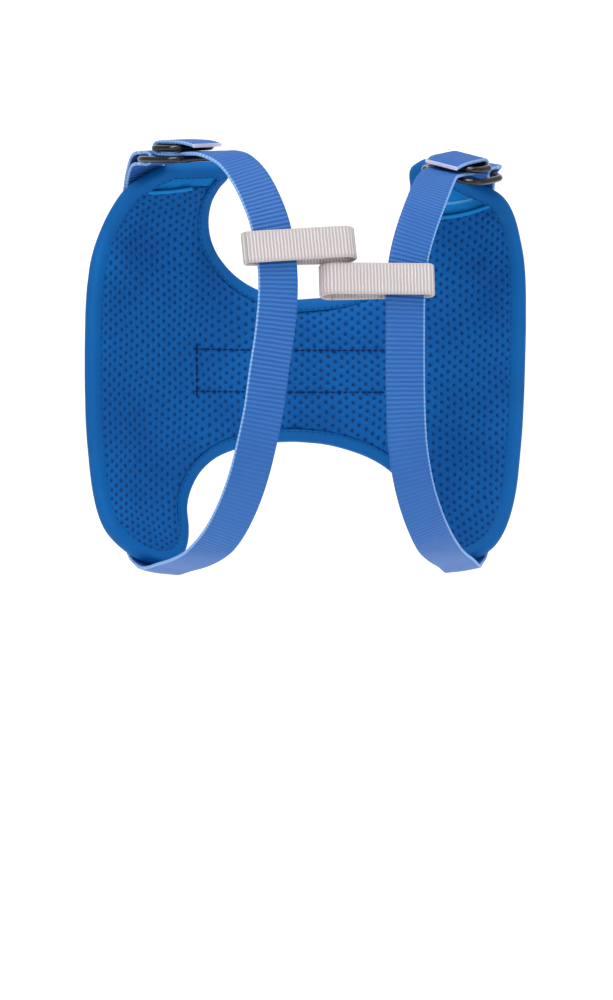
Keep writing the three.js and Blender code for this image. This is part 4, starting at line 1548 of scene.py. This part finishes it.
    def _binding(self) -> None:
        """The tape wrapped round the rim, with small puckers along its seam."""
        rim, section = self.rim, self._binding_section()
        pucker = np.array([noise.noise(Vector((place * 160, 0, 0))) for place in rim.places])
        wobble = np.array([noise.noise(Vector((place * 45, 7, 0))) for place in rim.places])
        outward = section[None, :, 0] + (section[None, :, 0] < -0.9 * self.binding_reach) * (
            0.25 * MM * wobble[:, None]
        )
        pinch = 1.0 - 0.05 * (0.5 + 0.5 * pucker[:, None]) * (np.abs(section[None, :, 1]) > self.rim_half - MM)
        backward = section[None, :, 1] * pinch
        points = (
            rim.points[:, None, :]
            + outward[:, :, None] * rim.outward[:, None, :]
            + backward[:, :, None] * rim.backward[:, None, :]
        )
        around = np.concatenate([[0.0], np.cumsum(np.linalg.norm(np.diff(section, axis=0), axis=1))])
        flat = np.stack(np.broadcast_arrays(around[None, :], rim.places[:, None]), axis=2)
        faces = tube_faces(len(rim.points), len(section), True)
        piece = mesh_piece("wrapped_edge", points.reshape(-1, 3), faces, flat.reshape(-1, 2))
        face_outward(piece)
        finish = PlainClothFinish(
            "binding_tape", linear_colour(0, 86, 152), linear_colour(0, 76, 138), pitch=0.45 * MM, sheen=0.03,
        )
        dress(piece, finish.build(self.effects), "edge_binding")

    def _on_surface(
        self, piece: bpy.types.Object, line: np.ndarray, from_front: bool, stitches: Stitches, lift: float
    ) -> list[tuple[np.ndarray, np.ndarray, np.ndarray]]:
        """Lays a front-view line on a piece as stitches.

        Args:
            piece: What it is sewn on.
            line: Points as x and z.
            from_front: Whether it lies on the side of the wearer.
            stitches: The row's stitch.
            lift: How far the thread's middle stands out of the surface.

        Returns:
            Middle, direction and surface direction of each stitch.
        """
        tree = BVHTree.FromPolygons(
            [vertex.co for vertex in piece.data.vertices], [face.vertices for face in piece.data.polygons]
        )
        start = -0.3 if from_front else 0.3
        hits, ups = [], []
        for x, z in line:
            place, normal, _, _ = tree.ray_cast(Vector((x, start, z)), Vector((0, -start, 0)))
            if place is not None:
                hits.append(np.array(place))
                ups.append(np.array(normal))
        if len(hits) < 2:
            return []
        points, normals = np.array(hits), np.array(ups)
        normals = normals * np.where(normals[:, 1] * start < 0, -1.0, 1.0)[:, None]
        marks = []
        for middle, ahead in stitches.along(points, False):
            up = square_to(normals[int(np.argmin(np.linalg.norm(points - middle, axis=1)))], ahead)
            marks.append((middle + up * lift, ahead, up))
        return marks

    def _top_line(self, lining: bpy.types.Object, side: Side) -> np.ndarray:
        """The lining's upper edge on one lobe, over the front view.

        Args:
            lining: The perforated lining.
            side: The lobe's side.

        Returns:
            Points as x and z, from the middle of the harness outward.
        """
        points = mesh_points(lining.data)
        points = points[points[:, 0] * side.value > 0]
        highest = points[points[:, 2] > points[:, 2].max() - 14 * MM]
        low, high = np.abs(highest[:, 0]).min(), np.abs(highest[:, 0]).max()
        line = []
        for place in np.linspace(low + 5 * MM, high - 9 * MM, 24):
            column = highest[np.abs(np.abs(highest[:, 0]) - place) < 1.6 * MM]
            if len(column):
                line.append((side.value * place, column[:, 2].max()))
        line = np.array(line)
        return np.column_stack([line[:, 0], np.polyval(np.polyfit(line[:, 0], line[:, 1], 2), line[:, 0])])

    def _lobe_top_seams(self, pad: bpy.types.Object, lining: bpy.types.Object) -> None:
        """Rolls a folded hem over the lining's upper edges and sews a zigzag above the left one.

        Args:
            pad: The stuffed pad.
            lining: The perforated lining.
        """
        hem_finish = PlainClothFinish(
            "hem_cloth", linear_colour(10, 122, 188), linear_colour(2, 104, 172), pitch=0.45 * MM
        ).build(self.effects)
        for side in Side:
            line = self._top_line(lining, side)
            line[:, 1] -= 2 * self.hem_drop
            line = line[3:-2] if side is Side.RIGHT else line
            marks = self._on_surface(lining, line, True, Stitches(length=0.7 * MM, gap=0.1 * MM), self.hem_lift)
            order = np.arange(len(marks))
            middles, ups = (
                np.column_stack(
                    [np.polyval(np.polyfit(order, [mark[item][axis] for mark in marks], 2), order) for axis in range(3)]
                )
                for item in (0, 2)
            )
            middles[:, 2] += self.hem_drop
            aheads = unit_rows(np.gradient(middles, axis=0))
            ups = unit_rows(ups - aheads * np.sum(ups * aheads, axis=1)[:, None])
            around = 12
            angles = np.linspace(2 * math.pi, 0, around, endpoint=False)
            rings = []
            for middle, ahead, up in zip(middles, aheads, ups):
                sideways = np.cross(up, ahead)
                rings.append(
                    middle
                    + np.outer(np.cos(angles) * self.hem_width / 2, sideways)
                    + np.outer(np.sin(angles) * self.hem_height / 2, up)
                )
            faces = tube_faces(len(rings), around, False)
            hem = mesh_piece(f"{side.word}_lobe_hem", np.vstack(rings), faces, np.zeros((around * len(rings), 2)))
            dress(hem, hem_finish, None)
        line = self._top_line(lining, Side.LEFT)
        line[:, 1] += self.zigzag_rise
        turns = 56
        places = np.linspace(0, len(line) - 1, turns)
        zigzag = np.column_stack([np.interp(places, np.arange(len(line)), line[:, axis]) for axis in (0, 1)])
        zigzag[:, 1] += np.where(np.arange(turns) % 2, self.zigzag_half, -self.zigzag_half)
        row = Stitches(length=1.5 * MM, gap=0.0, radius=0.2 * MM)
        marks = []
        for start, end in zip(zigzag[:-1], zigzag[1:]):
            marks += self._on_surface(pad, np.linspace(start, end, 4), True, row, 0.1 * MM)[3:5]
        piece = row.build("zigzag_stitches", marks)
        bright = ThreadFinish("bright_thread", linear_colour(86, 178, 226)).build(self.effects)
        dress(piece, bright, None)

    def _seams(self, pad: bpy.types.Object, lining: bpy.types.Object) -> None:
        """Sews the wrapped edge and the rectangle through the bridge, which shows on both sides.

        Args:
            pad: The stuffed pad.
            lining: The perforated lining.
        """
        row = Stitches(length=1.9 * MM, gap=0.8 * MM, radius=0.26 * MM)
        edge_marks = []
        for sign in (-1, 1):
            seam = (
                self.rim.points
                - self.rim.outward * 0.8 * self.binding_reach
                + self.rim.backward * sign * (self.leg_half - 0.05 * MM)
            )
            for middle, ahead in row.along(seam, True):
                nearest = int(np.argmin(np.linalg.norm(seam - middle, axis=1)))
                edge_marks.append((middle, ahead, self.rim.backward[nearest] * sign))
        edge = row.build("edge_stitches", edge_marks)
        thread = ThreadFinish("blue_thread", linear_colour(0, 72, 136)).build(self.effects)
        dress(edge, thread, None)
        bold = Stitches(length=2.3 * MM, gap=0.25 * MM, radius=0.42 * MM)
        patch_marks = []
        for line in self._patch_lines():
            patch_marks += self._on_surface(lining, line, True, bold, 0.14 * MM)
            patch_marks += self._on_surface(pad, line, False, bold, 0.14 * MM)
        patch = bold.build("bridge_stitches", patch_marks)
        dark = ThreadFinish("dark_thread", linear_colour(8, 30, 84)).build(self.effects)
        dress(patch, dark, None)


@dataclass
class BoxStitch:
    """The crossed rectangle of stitches that holds the start of a run on the back of the panel."""

    run: WebbingRun
    half_width: float = 6.0 * MM
    start: float = 2.5 * MM
    length: float = 18 * MM
    surface: float = 0.75 * MM

    def marks(self, stitches: Stitches) -> list[tuple[np.ndarray, np.ndarray, np.ndarray]]:
        """Lays the rectangle and its cross on the webbing's outer face.

        Args:
            stitches: The row's stitch.

        Returns:
            Middle, direction and surface direction of each stitch.
        """
        near, far, half = self.start, self.start + self.length, self.half_width
        corners = [(-half, near), (half, near), (half, far), (-half, far)]
        sides = [(0, 1), (1, 2), (2, 3), (3, 0), (0, 2), (1, 3)]
        centres, across = self.run.centres, self.run.across
        faces = self.run.faces * np.sign(self.run.faces[0][1])
        distance = np.concatenate([[0.0], np.cumsum(np.linalg.norm(np.diff(centres, axis=0), axis=1))])
        marks = []
        for first, last in sides:
            flat = np.linspace(corners[first], corners[last], 40)
            middle = smooth_line(centres, distance, flat[:, 1], False)
            sideways = smooth_line(across, distance, flat[:, 1], False)
            ups = unit_rows(smooth_line(faces, distance, flat[:, 1], False))
            line = middle + sideways * flat[:, :1] + ups * self.surface
            for place, ahead in stitches.along(line, False):
                up = ups[int(np.argmin(np.linalg.norm(line - place, axis=1)))]
                marks.append((place, ahead, square_to(up, ahead)))
        return marks


@dataclass
class ShoulderStrap:
    """One shoulder strap with the tab of its buckle and the box stitches at their sewn ends."""

    frame: dict
    side: Side
    finish: bpy.types.Material
    thread: bpy.types.Material
    width: float = 16 * MM
    thickness: float = 1.5 * MM
    pitch: float = 1.8 * MM

    def build(self) -> None:
        """Builds the strap, the tab and their stitches."""
        stitches = Stitches(length=1.9 * MM, gap=0.5 * MM, radius=0.25 * MM)
        marks = []
        for part in ("strap", "buckle_tab"):
            node = f"{self.side.word}_{part}"
            webbing = Webbing(node, self.width, self.thickness, self.pitch, outer_sign=self.side.value, sway=0.04 * MM)
            piece = webbing.build(self.frame, f"{self.side.word}_{part}_webbing")
            dress(piece, self.finish, node)
            run = WebbingRun.from_node(self.frame["nodes"][node], self.width)
            starts_behind = run.centres[0][1] > run.centres[-1][1]
            marks += BoxStitch(run if starts_behind else run.turned()).marks(stitches)
        sewing = stitches.build(f"{self.side.word}_box_stitches", marks)
        dress(sewing, self.thread, None)


@dataclass
class TieInLoop:
    """One closed tie-in loop of narrow webbing."""

    frame: dict
    side: Side
    finish: bpy.types.Material
    width: float = 13 * MM
    thickness: float = 1.6 * MM
    pitch: float = 1.35 * MM

    def build(self) -> None:
        """Builds the loop."""
        node = f"{self.side.word}_tie_in_loop"
        webbing = Webbing(
            node, self.width, self.thickness, self.pitch, rib_height=0.13 * MM, points_across=11, sway=0.04 * MM
        )
        piece = webbing.build(self.frame, f"{self.side.word}_tie_in_webbing")
        dress(piece, self.finish, node)


@dataclass
class BuckleBar:
    """One frame of a buckle, bent from round bar: a torus drawn out to the frame's rounded outline."""

    frame: dict
    node: str
    name: str
    finish: bpy.types.Material
    bar_width: float = 3.3 * MM
    bar_thickness: float = 2.7 * MM
    bow: float = 1.2 * MM

    def axes(self) -> tuple[np.ndarray, np.ndarray, np.ndarray]:
        """Reads how the frame lies.

        Returns:
            Its middle, its three axes with the longest first, and its three lengths.
        """
        points = np.unique(np.round(mesh_points(self.frame["nodes"][self.node].data), 7), axis=0)
        middle = (points.max(axis=0) + points.min(axis=0)) / 2
        _, _, ways = np.linalg.svd(points - points.mean(axis=0), full_matrices=False)
        spans = (points - middle) @ ways.T
        middle = middle + ((spans.max(axis=0) + spans.min(axis=0)) / 2) @ ways
        return middle, ways, spans.max(axis=0) - spans.min(axis=0)

    def build(self) -> None:
        """Builds the frame."""
        middle, ways, lengths = self.axes()
        half_x = lengths[0] / 2 - self.bow / 2 - self.bar_width / 2
        half_y = lengths[1] / 2 - self.bar_width / 2
        clear_selection()
        ring_radius = 10.0
        bpy.ops.mesh.primitive_torus_add(
            major_segments=96, minor_segments=16, major_radius=ring_radius, minor_radius=1.0
        )
        piece = bpy.context.object
        piece.name = piece.data.name = self.name
        points = mesh_points(piece.data)
        angle = np.arctan2(points[:, 1], points[:, 0])
        ring = np.hypot(points[:, 0], points[:, 1]) - ring_radius
        line, outward = self._outline(half_x, half_y, angle)
        flat = line + outward * (ring * self.bar_width / 2)[:, None]
        local = np.column_stack([flat, points[:, 2] * self.bar_thickness / 2])
        move_points(piece.data, middle + local @ ways)
        piece.matrix_world = Matrix.Identity(4)
        face_outward(piece)
        dress(piece, self.finish, self.node)

    def _outline(self, half_x: float, half_y: float, angle: np.ndarray) -> tuple[np.ndarray, np.ndarray]:
        """The frame's middle line at each turn of the torus.

        Args:
            half_x: Half its length.
            half_y: Half its width.
            angle: Turns of the torus's points.

        Returns:
            Points of the line and the ways away from the frame's middle.
        """
        power = 5.0
        turns = np.linspace(-math.pi, math.pi, 1441)
        shape = (np.abs(np.cos(turns)) ** power + np.abs(np.sin(turns)) ** power) ** (-1 / power)
        x = half_x * shape * np.cos(turns)
        y = half_y * shape * np.sin(turns)
        bulge = np.clip(1 - (y / half_y) ** 2, 0, 1) * smooth_step(np.abs(x), 0.8 * half_x, half_x)
        x += np.sign(x) * self.bow / 2 * bulge
        slope_x, slope_y = np.gradient(x), np.gradient(y)
        size = np.hypot(slope_x, slope_y)
        line = np.column_stack([np.interp(angle, turns, x), np.interp(angle, turns, y)])
        outward = np.column_stack([
            np.interp(angle, turns, slope_y / size), np.interp(angle, turns, -slope_x / size)
        ])
        return line, outward


@dataclass
class Studio:
    """The pale floor and backdrop, the soft lights and the camera."""

    floor_height: float = -0.36
    sweep_size: float = 9.0
    camera_place: tuple = (-0.2298, -1.4317, -0.13)
    camera_turn: float = -9.0
    lens: float = 125.28

    def build(self) -> None:
        """Builds the whole studio."""
        self._sweep()
        self._lights()
        self._camera()

    def _sweep(self) -> None:
        """Floor and backdrop as one bent sheet."""
        clear_selection()
        bpy.ops.mesh.primitive_plane_add(size=1.0)
        sweep = bpy.context.object
        sweep.name = sweep.data.name = "floor_and_backdrop"
        with editing(sweep):
            bpy.ops.mesh.subdivide(number_cuts=40)
        points = mesh_points(sweep.data)
        run = (points[:, 1] + 0.5) * self.sweep_size
        straight, radius = 5.0, 1.2
        bend = np.clip((run - straight) / radius, 0, math.pi / 2)
        beyond = np.maximum(run - straight - radius * math.pi / 2, 0)
        y = -2.5 + np.minimum(run, straight) + radius * np.sin(bend)
        z = self.floor_height + radius * (1 - np.cos(bend)) + beyond
        move_points(sweep.data, np.column_stack([points[:, 0] * self.sweep_size, y, z]))
        material = bpy.data.materials.new("pale_sweep")
        material.use_nodes = True
        shader = material.node_tree.nodes["Principled BSDF"]
        shader.inputs["Base Color"].default_value = (0.92, 0.92, 0.92, 1.0)
        shader.inputs["Roughness"].default_value = 0.9
        shader.inputs["Emission Color"].default_value = (1.0, 1.0, 1.0, 1.0)
        shader.inputs["Emission Strength"].default_value = 0.45
        sweep.data.materials.append(material)

    def _lights(self) -> None:
        """A bright even world and three soft lamps."""
        world = bpy.data.worlds.new("studio")
        bpy.context.scene.world = world
        world.use_nodes = True
        world.node_tree.nodes["Background"].inputs["Color"].default_value = (1.0, 1.0, 1.0, 1.0)
        world.node_tree.nodes["Background"].inputs["Strength"].default_value = 0.5
        lamps = (
            ("key", (-0.7, -1.3, 0.9), 0.8, 11.0),
            ("fill", (0.9, -1.0, 0.3), 0.9, 4.0),
            ("top", (-0.1, -0.35, 1.1), 0.6, 12.0),
        )
        for name, place, size, power in lamps:
            data = bpy.data.lights.new(name, "AREA")
            data.size = size
            data.energy = power
            lamp = link(bpy.data.objects.new(name, data))
            lamp.location = place
            aim = Vector((0.0, 0.0, -0.07)) - Vector(place)
            lamp.rotation_euler = aim.to_track_quat("-Z", "Y").to_euler()

    def _camera(self) -> None:
        """A level camera at the photographed angle."""
        data = bpy.data.cameras.new("camera")
        data.lens = self.lens
        data.sensor_width = 36.0
        data.clip_end = 50.0
        camera = link(bpy.data.objects.new("camera", data))
        camera.location = self.camera_place
        camera.rotation_euler = (math.pi / 2, 0.0, math.radians(self.camera_turn))
        bpy.context.scene.camera = camera
        bpy.context.scene.view_settings.view_transform = "Standard"


def main() -> None:
    """Builds the harness and the studio."""
    logging.basicConfig(level=logging.INFO, format="%(relativeCreated)6d ms %(name)s: %(message)s")
    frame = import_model()
    Studio().build()
    effects = Effects()
    BackPanel(effects, frame).build()
    # The crest colours below are painted highlights on the ribs, the darker rib colours painted shade in the grooves.
    strap_finish = WebbingFinish(
        "strap_webbing", crest=linear_colour(44, 102, 168), groove_shade=linear_colour(24, 76, 144),
        edge=linear_colour(150, 190, 236), pitch=1.8 * MM, width=16 * MM, edge_width=0.9 * MM, end_band=0.3 * MM,
    ).build(effects)
    loop_finish = WebbingFinish(
        "loop_webbing", crest=linear_colour(208, 202, 202), groove_shade=linear_colour(158, 151, 153),
        edge=linear_colour(168, 158, 156), pitch=1.35 * MM, width=13 * MM, edge_width=1.7 * MM, roughness=0.75,
        edge_strength=0.6, second_edge=1.0,
    ).build(effects)
    buckle_finish = BuckleFinish().build(effects)
    thread = ThreadFinish("strap_thread", linear_colour(30, 62, 140)).build(effects)
    for side in Side:
        ShoulderStrap(frame, side, strap_finish, thread).build()
        TieInLoop(frame, side, loop_finish).build()
        for part in ("base", "slider"):
            node = f"{side.word}_buckle_{part}"
            BuckleBar(frame, node, f"{side.word}_buckle_{part}_bar", buckle_finish).build()


if __name__ == "__main__":
    main()
